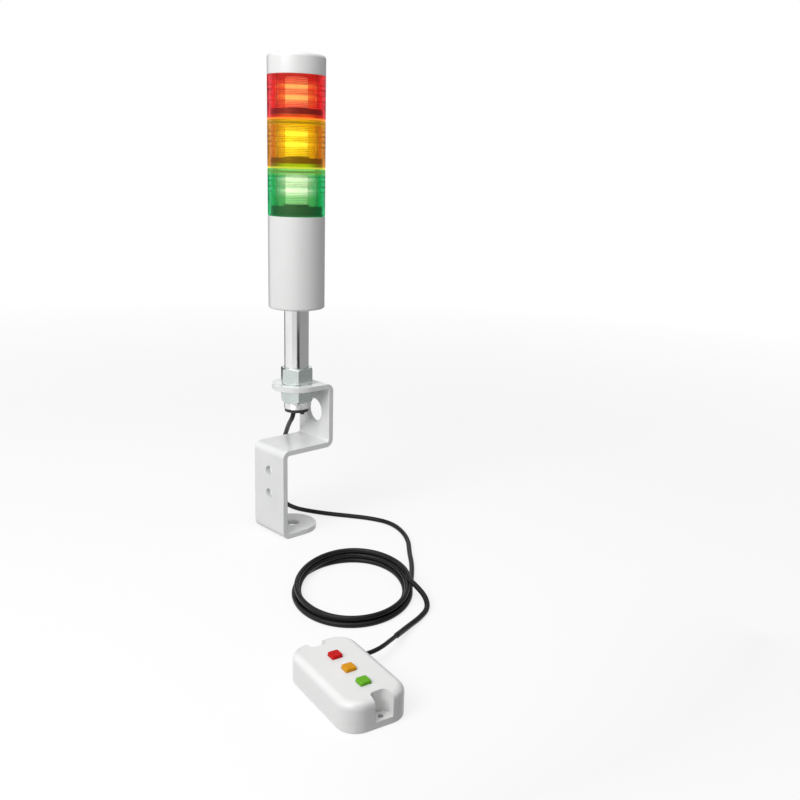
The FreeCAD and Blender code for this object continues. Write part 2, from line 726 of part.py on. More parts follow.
def make_divider(colour, level):
    """Dark disc on the spigot below, with a collar for the light column."""
    collar_inside = "(Sizes.column_diameter / 2 + Sizes.hole_clearance)"
    collar_outside = "(Sizes.column_diameter / 2 + 1.5)"
    rim = f"({LENS_INSIDE} - 0.3)"
    body = revolved(colour.title() + "_divider", [
        ("4", "0"),
        (rim, "0"),
        (rim, "Sizes.divider_thickness"),
        (collar_outside, "Sizes.divider_thickness"),
        (collar_outside, "Sizes.divider_thickness + 2"),
        (collar_inside, "Sizes.divider_thickness + 2"),
        (collar_inside, "Sizes.divider_thickness"),
        ("4", "Sizes.divider_thickness"),
    ])
    drill_rod_holes(body, "Sizes.divider_thickness", "Sizes.divider_thickness")
    return in_tower(body, colour + "_divider", f"{level} + Sizes.neck_height")


def make_column(colour, level):
    """Frosted tube with a closed top that spreads the light of the LEDs."""
    outside = "(Sizes.column_diameter / 2)"
    inside = "(Sizes.column_diameter / 2 - Sizes.column_wall)"
    body = revolved(colour.title() + "_column", [
        (inside, "0"),
        (outside, "0"),
        (outside, "Sizes.column_height"),
        ("0", "Sizes.column_height"),
        ("0", "Sizes.column_height - Sizes.column_wall"),
        (inside, "Sizes.column_height - Sizes.column_wall"),
    ])
    return in_tower(body, colour + "_column", level)


def make_leds(colour, level):
    """Two rows of three LEDs on each face of the board."""
    packages = []
    for side in (1, -1):
        for row in (0, 1):
            for column in (-1, 0, 1):
                packages.append(block(
                    "Sizes.led_size",
                    "Sizes.led_depth",
                    "Sizes.led_size",
                    x=f"{column} * Sizes.led_column_pitch",
                    y=f"{side} * (Sizes.board_thickness + Sizes.led_depth) / 2",
                    z=f"Sizes.led_row_low + {row} * Sizes.led_row_pitch - Sizes.led_size / 2",
                ))
    return in_tower(group(packages), colour + "_leds", level, turn="-Sizes.board_turn")


def make_seal(label, level):
    """Rubber ring in the recess of a seam."""
    seal = document.addObject("Part::Torus", "Seal")
    bind(seal, {
        "Radius1": f"({RIM_RADIUS} + {NECK_RADIUS}) / 2",
        "Radius2": f"({RIM_RADIUS} - {NECK_RADIUS}) / 2 - Sizes.thread_clearance",
    })
    return in_tower(seal, label, f"{level} + Sizes.rim_recess / 2")


def make_tier(number, colour):
    """One light tier: lens, seal, divider, light column, LED board and LEDs."""
    level = f"({TOWER_BASE} + {number} * Sizes.tier_pitch)"
    floor = f"{level} + {DIVIDER_TOP}"
    in_tower(revolved(colour.title() + "_lens", lens_outline()), colour + "_lens", level)
    make_seal(colour + "_seal", level)
    make_divider(colour, level)
    make_column(colour, floor)
    board = group([block("Sizes.led_board_width", "Sizes.board_thickness", "Sizes.led_board_height")])
    in_tower(board, colour + "_led_board", floor, turn="-Sizes.board_turn")
    make_leds(colour, floor)


def make_top_cap():
    """Plastic cap with a soft upper edge and two bosses for the tie rods."""
    ceiling = "(Sizes.cap_height - Sizes.body_wall)"
    body = revolved("Top_cap", [
        (RIM_RADIUS, "0"),
        (f"{TOWER_RADIUS} - Sizes.seam_chamfer", "0"),
        (TOWER_RADIUS, "Sizes.seam_chamfer"),
        (TOWER_RADIUS, "Sizes.cap_height"),
        ("0", "Sizes.cap_height + Sizes.cap_dome"),
        ("0", ceiling),
        (LENS_INSIDE, ceiling),
        (LENS_INSIDE, "Sizes.rim_recess"),
        (RIM_RADIUS, "Sizes.rim_recess"),
    ])
    dress(body, "Fillet", "Sizes.cap_edge", ring_at(TOWER_RADIUS, "Sizes.cap_height"))
    boss_foot = "(Sizes.neck_height + 0.3)"
    bosses = sketch_on(body, "XY_Plane", boss_foot)
    for side in ROD_SIDES:
        x = f"{side} * Sizes.rod_radius * cos(Sizes.board_turn)"
        y = f"{-side} * Sizes.rod_radius * sin(Sizes.board_turn)"
        circle(bosses, "Sizes.rod_diameter / 2 + 1.5", x=x, y=y)
    pad(body, bosses, f"{ceiling} + 0.5 - {boss_foot}")
    holes = sketch_on(body, "XY_Plane", boss_foot)
    for side in ROD_SIDES:
        x = f"{side} * Sizes.rod_radius * cos(Sizes.board_turn)"
        y = f"{-side} * Sizes.rod_radius * sin(Sizes.board_turn)"
        circle(holes, "Sizes.rod_diameter / 2 + Sizes.thread_clearance", x=x, y=y)
    pocket(body, holes, "Sizes.rod_grip + 0.3", reverse=True)
    return in_tower(body, "top_cap", CAP_BASE)


def make_tie_rods():
    """Two long screws from under the lid up into the bosses of the cap."""
    seat = "(Sizes.neck_height - 2.5)"
    length = f"(3 * Sizes.tier_pitch + Sizes.neck_height + 0.3 + Sizes.rod_grip - {seat})"
    rods = []
    for side in ROD_SIDES:
        x = f"{side} * Sizes.rod_radius"
        shank = cylinder("Sizes.rod_diameter / 2", length, x=x, z=seat)
        head = cylinder("Sizes.rod_head / 2", "Sizes.rod_head_depth", x=x, z=f"{seat} - Sizes.rod_head_depth")
        rods.append(joined([shank, head]))
    return in_tower(group(rods), "tie_rods", TOWER_BASE, turn="-Sizes.board_turn")


# ---- cable -----------------------------------------------------------------------------

# Route of the cable from inside the pole, over the step, behind the lower leg, along the
# surface and into the coil, and from the top of the coil to the slim stretch at the box.
TOWER_LEAD_ROUTE = (
    (5.5, 0.0, 195.0),
    (4.4, -3.0, 157.5),
)
LEAD_ROUTE = (
    (3.9, -1.0, 133.5),
    (3.4, 1.0, 109.5),
    (12.0, 21.0, 95.5),
    (20.5, 37.0, 82.0),
    (24.5, 48.0, 67.5),
    (25.0, 54.0, 52.0),
    (24.0, 56.5, 36.5),
    (23.0, 54.0, 21.5),
    (23.5, 45.5, 9.0),
    (27.0, 32.0, 2.3),
    (33.0, 16.0, 2.2),
    (43.2, -1.0, 2.2),
    (56.3, -17.6, 2.2),
    (68.0, -35.0, 2.2),
    (75.5, -55.5, 2.2),
    (70.5, -78.0, 2.2),
    (58.5, -99.5, 2.2),
    (41.5, -118.5, 2.2),
    (26.5, -137.5, 2.2),
    (8.8, -155.8, 2.2),
    (-5.7, -169.1, 2.2),
)
TAIL_ROUTE = (
    (-6.2, -168.7, 8.8),
    (-9.4, -180.5, 8.2),
    (-11.5, -193.0, 4.6),
    (-20.5, -205.0, 2.4),
    (-35.0, -211.5, 2.2),
    (-51.0, -216.3, 2.8),
    (-66.62, -222.74, 5.0),
    (-73.9, -226.1, 6.4),
)
PIGTAIL_ROUTE = (
    (-73.9, -226.1, 6.4),
    (-84.3, -230.9, 8.4),
    (-96.6, -236.1, 10.2),
)
EXIT_RUN = 7.5  # straight stretch of the cable outside the gland
ARC_SHARE = 0.45  # part of the shorter run that an arc may use


def rounded_path(points):
    """Straight runs joined by tangent arcs as large as the runs allow, and the arcs' radii."""
    edges_of_path = []
    radii = []
    start = points[0]
    for before, corner, after in zip(points, points[1:], points[2:]):
        incoming = (corner - before).normalize()
        outgoing = (after - corner).normalize()
        half_turn = incoming.getAngle(outgoing) / 2
        setback = ARC_SHARE * min(before.distanceToPoint(corner), corner.distanceToPoint(after))
        radii.append(setback / math.tan(half_turn))
        arc_start = corner - incoming * setback
        arc_end = corner + outgoing * setback
        inward = (outgoing - incoming).normalize()
        centre = corner + inward * (setback / math.sin(half_turn))
        arc_middle = centre - inward * radii[-1]
        edges_of_path.append(Part.LineSegment(start, arc_start).toShape())
        edges_of_path.append(Part.Arc(arc_start, arc_middle, arc_end).toShape())
        start = arc_end
    edges_of_path.append(Part.LineSegment(start, points[-1]).toShape())
    return Part.Wire(edges_of_path), radii


def make_tube(label, points, diameter="Sizes.cable_diameter"):
    """Round cable along a route."""
    radius = value(diameter) / 2
    path, radii = rounded_path(points)
    direction = (points[1] - points[0]).normalize()
    section = Part.Wire(Part.Circle(points[0], direction, radius).toShape())
    tube = path.makePipeShell([section], True, False)
    expected = math.pi * radius ** 2 * path.Length
    if abs(tube.Volume / expected - 1) > 0.01:
        raise RuntimeError(label + ": the tube's volume is not its section times its length")
    rounded = ", ".join(f"{size:.0f}" for size in radii)
    print(f"{label}: length {path.Length:.0f} mm, radii {rounded} mm")
    thing = document.addObject("Part::Feature", label.title())
    thing.Shape = tube
    return sub_part(thing, label)


def box_point(x, y, z):
    """Place in the row frame of a point given from the centre of the control box."""
    angle = math.radians(value("Sizes.box_turn"))
    east = value("Sizes.box_east") + x * math.cos(angle) - y * math.sin(angle)
    north = value("Sizes.box_north") + x * math.sin(angle) + y * math.cos(angle)
    return Vector(east, north, z)


def make_cables():
    """The plain stretches of the cable: in the pole, free, to the box and in the box."""
    tower_lead, lead, tail, pigtail = (
        [Vector(*point) for point in route]
        for route in (TOWER_LEAD_ROUTE, LEAD_ROUTE, TAIL_ROUTE, PIGTAIL_ROUTE)
    )
    terminal = value(f"{BODY_UNDER} + Sizes.board_level - Sizes.terminal_height")
    top = Vector(value("Sizes.pole_offset"), 0, terminal)
    make_tube("tower_lead", [top] + tower_lead + [lead[0]])
    make_tube("cable_lead", lead)
    make_tube("cable_tail", tail)
    height = value("Sizes.entry_height")
    entry_x = value(ENTRY_X)
    nose = -value("Sizes.box_width / 2 + Sizes.gland_nose")
    nose_tip = box_point(entry_x, nose, height)
    bend = box_point(entry_x, nose - EXIT_RUN, height)
    inner_end = box_point(entry_x, -value("Sizes.connector_reach"), height)
    make_tube("cable_pigtail", pigtail + [bend, nose_tip], "Sizes.pigtail_diameter")
    make_tube("box_lead", [nose_tip, inner_end], "Sizes.pigtail_diameter")


def make_coil():
    """Outer shape of the coiled cable: an oval band."""
    bands = []
    for inset in ("0", "Sizes.coil_band"):
        oval = document.addObject("Part::Ellipse", "Oval")
        bind(oval, {
            "MajorRadius": f"Sizes.coil_length / 2 - {inset}",
            "MinorRadius": f"Sizes.coil_breadth / 2 - {inset}",
        })
        band = document.addObject("Part::Extrusion", "Band")
        band.Base = oval
        band.DirMode = "Custom"
        band.Dir = UP
        band.Solid = True
        band.setExpression("LengthFwd", "Sizes.coil_height")
        bands.append(band)
    return sub_part(
        cut(*bands),
        "cable_coil",
        x="Sizes.coil_east",
        y="Sizes.coil_north",
        z="0.05",
        turn="Sizes.coil_turn",
    )


# ---- control box -----------------------------------------------------------------------


def cut_slots(body, level, depth):
    """Rounded fixing slots at both ends of the box, cut down from a level."""
    sketch = sketch_on(body, "XY_Plane", level)
    root = "(Sizes.box_length / 2 - Sizes.slot_depth)"
    for side in END_SIDES:
        middle = f"{side} * ({root} + Sizes.slot_depth / 2 + 0.5)"
        shift = f"{side} * Sizes.slot_shift"
        rectangle(sketch, "Sizes.slot_depth + 1", "Sizes.slot_width", x=middle, y=shift)
    pocket(body, sketch, depth)
    reach = value(root)

    def at_root(edge):
        return upright(edge) and abs(abs(edge.CenterOfMass.x) - reach) < 1e-4

    dress(body, "Fillet", "Sizes.slot_corner", at_root)


def shell_blank(name, height):
    """Block with the rounded outline of the control box."""
    body = new_body(name)
    base = sketch_on(body, "XY_Plane")
    rectangle(base, "Sizes.box_length", "Sizes.box_width")
    pad(body, base, height)
    dress(body, "Fillet", "Sizes.box_corner", upright)
    return body


def make_box_base():
    """Lower shell with board posts, screw recesses and a fixing ear at each end."""
    body = shell_blank("Box_base", "Sizes.box_split")
    dress(body, "Fillet", "Sizes.box_foot_edge", flat_at("0"))
    cavity = sketch_on(body, "XY_Plane", "Sizes.box_split")
    rectangle(cavity, CAVITY_LENGTH, CAVITY_WIDTH)
    pocket(body, cavity, "Sizes.box_split - Sizes.box_wall")
    cut_slots(body, "Sizes.box_split", EAR_DROP)
    ear_holes = sketch_on(body, "XY_Plane", "Sizes.ear_thickness")
    for side in END_SIDES:
        x, y = f"{side} * {SLOT_CENTRE}", f"{side} * Sizes.slot_shift"
        circle(ear_holes, "Sizes.ear_hole / 2", x=x, y=y)
    pocket(body, ear_holes, "Sizes.ear_thickness")
    posts = sketch_on(body, "XY_Plane", "Sizes.box_wall - 0.5")
    screw_holes = sketch_on(body, "XY_Plane", "Sizes.box_split")
    recesses = sketch_on(body, "XY_Plane")
    for side_x, side_y in CORNERS:
        post_x = f"{side_x} * ({CAVITY_LENGTH} / 2 - Sizes.post_end)"
        post_y = f"{side_y} * ({CAVITY_WIDTH} / 2 - Sizes.post_side)"
        circle(posts, "Sizes.post_radius", x=post_x, y=post_y)
        x = f"{side_x} * {BOX_SCREW_X}"
        y = f"{side_y} * {BOX_SCREW_Y}"
        circle(screw_holes, "Sizes.box_screw / 2 + Sizes.hole_clearance", x=x, y=y)
        circle(recesses, "Sizes.box_screw_head / 2 + Sizes.hole_clearance", x=x, y=y)
    pad(body, posts, "Sizes.post_height - Sizes.box_wall + 0.5")
    pocket(body, screw_holes, "Sizes.box_split")
    pocket(body, recesses, "Sizes.box_screw_recess", reverse=True)
    return in_box(body, "box_base")


def make_box_cover():
    """Upper shell with soft edges, three button holes and a round cable entry."""
    body = shell_blank("Box_cover", "Sizes.box_height - Sizes.box_split")
    dress(body, "Fillet", "Sizes.box_edge", flat_at("Sizes.box_height - Sizes.box_split"))
    cavity = sketch_on(body, "XY_Plane")
    rectangle(cavity, CAVITY_LENGTH, CAVITY_WIDTH)
    pocket(body, cavity, f"{CEILING} - Sizes.box_split", reverse=True)
    cut_slots(body, "Sizes.box_height - Sizes.box_split", "Sizes.box_height - Sizes.box_split")
    windows = sketch_on(body, "XY_Plane", "Sizes.box_height - Sizes.box_split")
    opening = "(Sizes.button_size + 2 * Sizes.button_gap)"
    for place in (-1, 0, 1):
        rectangle(windows, opening, opening, x=f"{place} * {BUTTON_PITCH} + Sizes.button_shift")
    pocket(body, windows, "Sizes.box_wall")
    holes = sketch_on(body, "XY_Plane")
    for side_x, side_y in CORNERS:
        x = f"{side_x} * {BOX_SCREW_X}"
        y = f"{side_y} * {BOX_SCREW_Y}"
        circle(holes, "Sizes.box_screw / 2 + Sizes.thread_clearance", x=x, y=y)
    depth = "Sizes.box_screw_length + Sizes.box_screw_recess - Sizes.box_split + 1"
    pocket(body, holes, depth, reverse=True)
    entry = sketch_on(body, "XZ_Plane", "Sizes.box_width / 2")
    circle(
        entry,
        "Sizes.gland_body / 2 + Sizes.thread_clearance",
        x=ENTRY_X,
        y="Sizes.entry_height - Sizes.box_split",
    )
    pocket(body, entry, "Sizes.box_wall")
    return in_box(body, "box_cover", "Sizes.box_split")


def make_box_gland():
    """Tapered sleeve that the cable enters the box through."""
    bore = "(Sizes.pigtail_diameter / 2 + Sizes.thread_clearance)"
    wall = "Sizes.box_wall"
    body = new_body("Box_gland")
    sketch = sketch_on(body, "XZ_Plane")
    outline(sketch, [
        (bore, "-Sizes.gland_nose"),
        ("Sizes.gland_nose_tip / 2", "-Sizes.gland_nose"),
        ("Sizes.gland_nose_root / 2", "0"),
        ("Sizes.gland_body / 2", "0"),
        ("Sizes.gland_body / 2", wall),
        ("Sizes.gland_flange / 2", wall),
        ("Sizes.gland_flange / 2", f"{wall} + Sizes.gland_flange_depth"),
        (bore, f"{wall} + Sizes.gland_flange_depth"),
    ])
    feature = body.newObject("PartDesign::Revolution", "Box_gland_turned")
    feature.Profile = sketch
    feature.ReferenceAxis = (sketch, ["V_Axis"])
    feature.Angle = 360.0
    document.recompute()
    body.Label = "box_gland"
    across_box = FreeCAD.Rotation(UP, value("Sizes.box_turn"))
    lying = FreeCAD.Rotation(Vector(1, 0, 0), -90)
    place = box_point(value(ENTRY_X), -value("Sizes.box_width / 2"), value("Sizes.entry_height"))
    body.Placement = FreeCAD.Placement(place, across_box * lying)
    sub_parts.append(body)
    document.recompute()
    return body


def make_box_board():
    """Circuit board on the posts."""
    length = f"{CAVITY_LENGTH} - 2 * Sizes.box_board_gap_end"
    width = f"{CAVITY_WIDTH} - 2 * Sizes.box_board_gap_side"
    board = group([block(length, width, "Sizes.board_thickness")])
    return in_box(board, "box_board", "Sizes.post_height")


def make_box_connector():
    """Connector on the board, where the cable ends."""
    housing = block(
        "Sizes.connector_width",
        "Sizes.connector_depth",
        "Sizes.connector_height",
        x=ENTRY_X,
        y="-Sizes.connector_reach + Sizes.connector_depth / 2",
    )
    return in_box(group([housing]), "box_connector", BOX_BOARD_TOP)


def make_box_screws():
    """Four screws that hold the cover on the base from below."""
    head_depth = "(Sizes.box_screw_recess - 0.4)"
    screws = []
    for side_x, side_y in CORNERS:
        x = f"{side_x} * {BOX_SCREW_X}"
        y = f"{side_y} * {BOX_SCREW_Y}"
        head = cylinder("Sizes.box_screw_head / 2", head_depth, x=x, y=y, z="0.4")
        shank = cylinder("Sizes.box_screw / 2", "Sizes.box_screw_length", x=x, y=y, z="Sizes.box_screw_recess")
        screws.append(joined([head, shank]))
    return in_box(group(screws), "box_screws")


def make_button(colour, place):
    """Square button with a keeping lip and a stem, the switch plunger and the switch."""
    x = f"{place} * {BUTTON_PITCH} + Sizes.button_shift"
    lip_under = f"({CEILING} - 0.1 - Sizes.button_lip_depth)"
    body = new_body(colour.title() + "_button")
    head = sketch_on(body, "XY_Plane", lip_under)
    rectangle(head, "Sizes.button_size", "Sizes.button_size", x=x)
    pad(body, head, f"Sizes.box_height + Sizes.button_rise - {lip_under}")
    dress(body, "Fillet", "Sizes.button_corner", upright)
    dress(body, "Fillet", "Sizes.button_corner / 2", flat_at("Sizes.box_height + Sizes.button_rise"))
    lip = sketch_on(body, "XY_Plane", lip_under)
    rectangle(lip, "Sizes.button_lip", "Sizes.button_lip", x=x)
    pad(body, lip, "Sizes.button_lip_depth")
    stem = sketch_on(body, "XY_Plane", lip_under)
    circle(stem, "Sizes.button_stem / 2", x=x)
    stem_foot = f"({SWITCH_TOP} + Sizes.plunger_rise)"
    pad(body, stem, f"{lip_under} - {stem_foot}", reverse=True)
    in_box(body, colour + "_button")
    pin = cylinder(
        "Sizes.plunger / 2",
        "Sizes.plunger_rise + Sizes.plunger_depth",
        x=x,
        z=f"{SWITCH_TOP} - Sizes.plunger_depth",
    )
    in_box(group([pin]), colour + "_plunger")
    housing = block("Sizes.switch_size", "Sizes.switch_size", "Sizes.switch_height", x=x)
    well = cylinder(
        "Sizes.plunger / 2 + Sizes.thread_clearance",
        "Sizes.switch_height - Sizes.switch_floor",
        x=x,
        z="Sizes.switch_floor",
    )
    in_box(cut(housing, well), colour + "_switch", BOX_BOARD_TOP)


def export():
    """Check every object and sub-part, then write one STEP file for each sub-part."""
    document.recompute()
    for thing in document.Objects:
        if "Invalid" in thing.State or "Error" in thing.State:
            raise RuntimeError(f"{thing.Label} failed: {thing.State}")
    os.makedirs("parts", exist_ok=True)
    for thing in sub_parts:
        shape = thing.Shape
        if shape.isNull() or not shape.isValid():
            raise RuntimeError(thing.Label + " has no valid shape")
        shape.exportStep(f"parts/{thing.Label}.step")
        box = shape.optimalBoundingBox(False, False)
        print(
            f"{thing.Label:16s} solids {len(shape.Solids):2d} volume {shape.Volume:10.1f}"
            f"  x {box.XMin:7.1f} {box.XMax:7.1f}  y {box.YMin:7.1f} {box.YMax:7.1f}"
            f"  z {box.ZMin:6.1f} {box.ZMax:6.1f}"
        )


fill_sheet()
make_bracket()
make_pole()
make_nut("upper_nut", "Sizes.upper_nut_thickness", "Sizes.flange_height")
make_nut("lower_nut", "Sizes.nut_thickness", f"{FLANGE_UNDER} - Sizes.nut_thickness")
make_bush()
make_base_body()
make_pole_collar()
make_collar_screws()
make_driver_board()
make_driver_parts()
make_terminal_block()
make_body_lid()
for tier, tier_colour in enumerate(COLOURS):
    make_tier(tier, tier_colour)
make_seal("cap_seal", CAP_BASE)
make_top_cap()
make_tie_rods()
make_cables()
make_coil()
make_box_base()
make_box_cover()
make_box_gland()
make_box_board()
make_box_connector()
make_box_screws()
for button_place, button_colour in zip((-1, 0, 1), COLOURS):
    make_button(button_colour, button_place)
export()
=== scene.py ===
"""Stack light: lenses, cap, thread, cable, finishes and studio on the CAD frame."""

import json
import logging
import math
from dataclasses import dataclass
from enum import Enum

import bmesh
import bpy
from mathutils import Matrix, Vector


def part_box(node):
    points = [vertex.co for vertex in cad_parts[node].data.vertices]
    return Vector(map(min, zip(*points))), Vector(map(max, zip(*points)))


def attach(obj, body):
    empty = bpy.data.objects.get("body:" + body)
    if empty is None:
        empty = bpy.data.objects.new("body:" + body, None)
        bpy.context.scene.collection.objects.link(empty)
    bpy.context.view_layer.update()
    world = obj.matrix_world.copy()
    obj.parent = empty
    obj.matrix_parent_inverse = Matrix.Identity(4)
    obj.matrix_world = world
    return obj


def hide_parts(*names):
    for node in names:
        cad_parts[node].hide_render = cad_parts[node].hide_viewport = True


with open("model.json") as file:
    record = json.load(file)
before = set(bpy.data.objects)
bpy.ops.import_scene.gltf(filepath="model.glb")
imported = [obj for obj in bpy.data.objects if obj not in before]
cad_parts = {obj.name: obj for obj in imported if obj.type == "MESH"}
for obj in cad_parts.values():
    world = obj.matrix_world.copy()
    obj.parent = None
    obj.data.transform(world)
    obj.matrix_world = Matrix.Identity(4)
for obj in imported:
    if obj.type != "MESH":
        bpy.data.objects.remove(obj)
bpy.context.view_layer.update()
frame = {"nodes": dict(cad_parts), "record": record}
LOG = logging.getLogger("stack_light")

Colour = tuple[float, float, float]
Point = tuple[float, float, float]
Span = tuple[float, float]
Corner = tuple[float, float]
Pair = tuple[float, float]
Lay = tuple[float, float, float]
Node = bpy.types.Node
Socket = bpy.types.NodeSocket
Material = bpy.types.Material
Piece = bpy.types.Object

# Sockets of a Mix node that mixes colours.
MIX_SHARE, MIX_FIRST, MIX_SECOND, MIX_RESULT = 0, 6, 7, 2
RISING: Span = (0.0, 1.0)
FALLING: Span = (1.0, 0.0)
MM_PER_M = 1000
# Corners closer than this are one corner.
SAME_CORNER = 0.000002
# Side of the small plane that is merged into the first corner of a section.
SEED = 0.0002
# Height of the cap's skirt over the red lens.
SKIRT = 0.0037


class TierColour(Enum):
    """The light tiers, from the top down."""

    RED = "red"
    AMBER = "amber"
    GREEN = "green"


# Levels of the two bright rows of each lens, from its foot.
ROWS: dict[TierColour, Span] = {
    TierColour.RED: (0.0172, 0.0261),
    TierColour.AMBER: (0.0200, 0.0285),
    TierColour.GREEN: (0.0225, 0.0315),
}


@dataclass(frozen=True)
class Upright:
    """The round outline of a CAD node that stands upright."""

    axis: Point
    radius: float
    height: float

    @classmethod
    def of(cls, node: str) -> "Upright":
        """Reads the outline from the frame.

        Args:
            node: Name of the CAD node.

        Returns:
            Foot of its axis, its radius and its height.
        """
        low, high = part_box(node)
        axis = ((low.x + high.x) / 2, (low.y + high.y) / 2, low.z)
        return cls(axis, (high.x - low.x) / 2, high.z - low.z)


# ---- node trees ----


class Tree:
    """Short calls that fill one node tree."""

    def __init__(self, tree: bpy.types.NodeTree) -> None:
        """Takes over an empty tree."""
        self.tree = tree

    def feed(self, socket: Socket, given: object) -> None:
        """Links or sets one input.

        Args:
            socket: The input.
            given: An output socket, a number or a colour.
        """
        if isinstance(given, Socket):
            self.tree.links.new(given, socket)
        elif socket.type == "RGBA" and len(given) == 3:
            socket.default_value = (*given, 1.0)
        else:
            socket.default_value = given

    def wire(self, node: Node, **inputs: object) -> None:
        """Links or sets inputs of a node by name, with _ for a space."""
        for name, given in inputs.items():
            self.feed(node.inputs[name.replace("_", " ")], given)

    def add(
        self, kind: str, settings: dict | None = None, *values: object, **inputs: object
    ) -> Node:
        """Adds a node.

        Args:
            kind: Type name of the node.
            settings: Properties of the node itself.
            *values: What its first inputs take, in order.
            **inputs: What inputs take by name, with _ for a space.

        Returns:
            The new node.
        """
        node = self.tree.nodes.new(kind)
        for name, setting in (settings or {}).items():
            setattr(node, name, setting)
        for socket, given in zip(node.inputs, values):
            self.feed(socket, given)
        self.wire(node, **inputs)
        return node

    def maths(self, operation: str, *values: object) -> Socket:
        """Works out a value from others."""
        return self.add("ShaderNodeMath", {"operation": operation}, *values).outputs[0]

    def apart(self, first: object, second: object) -> Socket:
        """Adds the distance between two values."""
        return self.maths("ABSOLUTE", self.maths("SUBTRACT", first, second))

    def mix(self, share: object, first: object, second: object) -> Socket:
        """Mixes two colours.

        Args:
            share: Share of the second colour.
            first: Colour at share 0.
            second: Colour at share 1.

        Returns:
            The mixed colour.
        """
        node = self.add("ShaderNodeMix", {"data_type": "RGBA"})
        self.feed(node.inputs[MIX_SHARE], share)
        self.feed(node.inputs[MIX_FIRST], first)
        self.feed(node.inputs[MIX_SECOND], second)
        return node.outputs[MIX_RESULT]

    def blend(self, share: object, first: object, second: object) -> Socket:
        """Mixes two shaders, with a share of the second."""
        return self.add("ShaderNodeMixShader", None, share, first, second).outputs[0]

    def span(self, given: object, reach: Span, onto: Span = RISING) -> Socket:
        """Maps a range of values onto another one, clamped.

        Args:
            given: The value.
            reach: Lower and upper end of its range.
            onto: Results at the lower and the upper end.

        Returns:
            The mapped value.
        """
        node = self.add(
            "ShaderNodeMapRange", {"clamp": True}, Value=given,
            From_Min=reach[0], From_Max=reach[1], To_Min=onto[0], To_Max=onto[1],
        )
        return node.outputs[0]

    def relief(self, height: object, depth: float, **normal: object) -> Socket:
        """Adds a fine relief of some depth, on a Normal where one is given."""
        return self.add("ShaderNodeBump", Height=height, Distance=depth, **normal).outputs[0]

    def height(self) -> Socket:
        """Adds the height of a point above the origin."""
        place = self.add("ShaderNodeTexCoord").outputs["Object"]
        return self.add("ShaderNodeSeparateXYZ", Vector=place).outputs["Z"]

    def sight(self) -> Socket:
        """Adds the mask of the rays that see the surroundings as bright as they are.

        Returns:
            1 for rays of the camera, of reflections and through clear pieces, else 0.
        """
        rays = self.add("ShaderNodeLightPath").outputs
        bounced = self.maths("MAXIMUM", rays["Is Glossy Ray"], rays["Is Transmission Ray"])
        return self.maths("MAXIMUM", rays["Is Camera Ray"], bounced)


class Shade(Enum):
    """The effects that several finishes share."""

    MOTTLE = "mottle"
    EDGES = "edges"
    STROKES = "strokes"


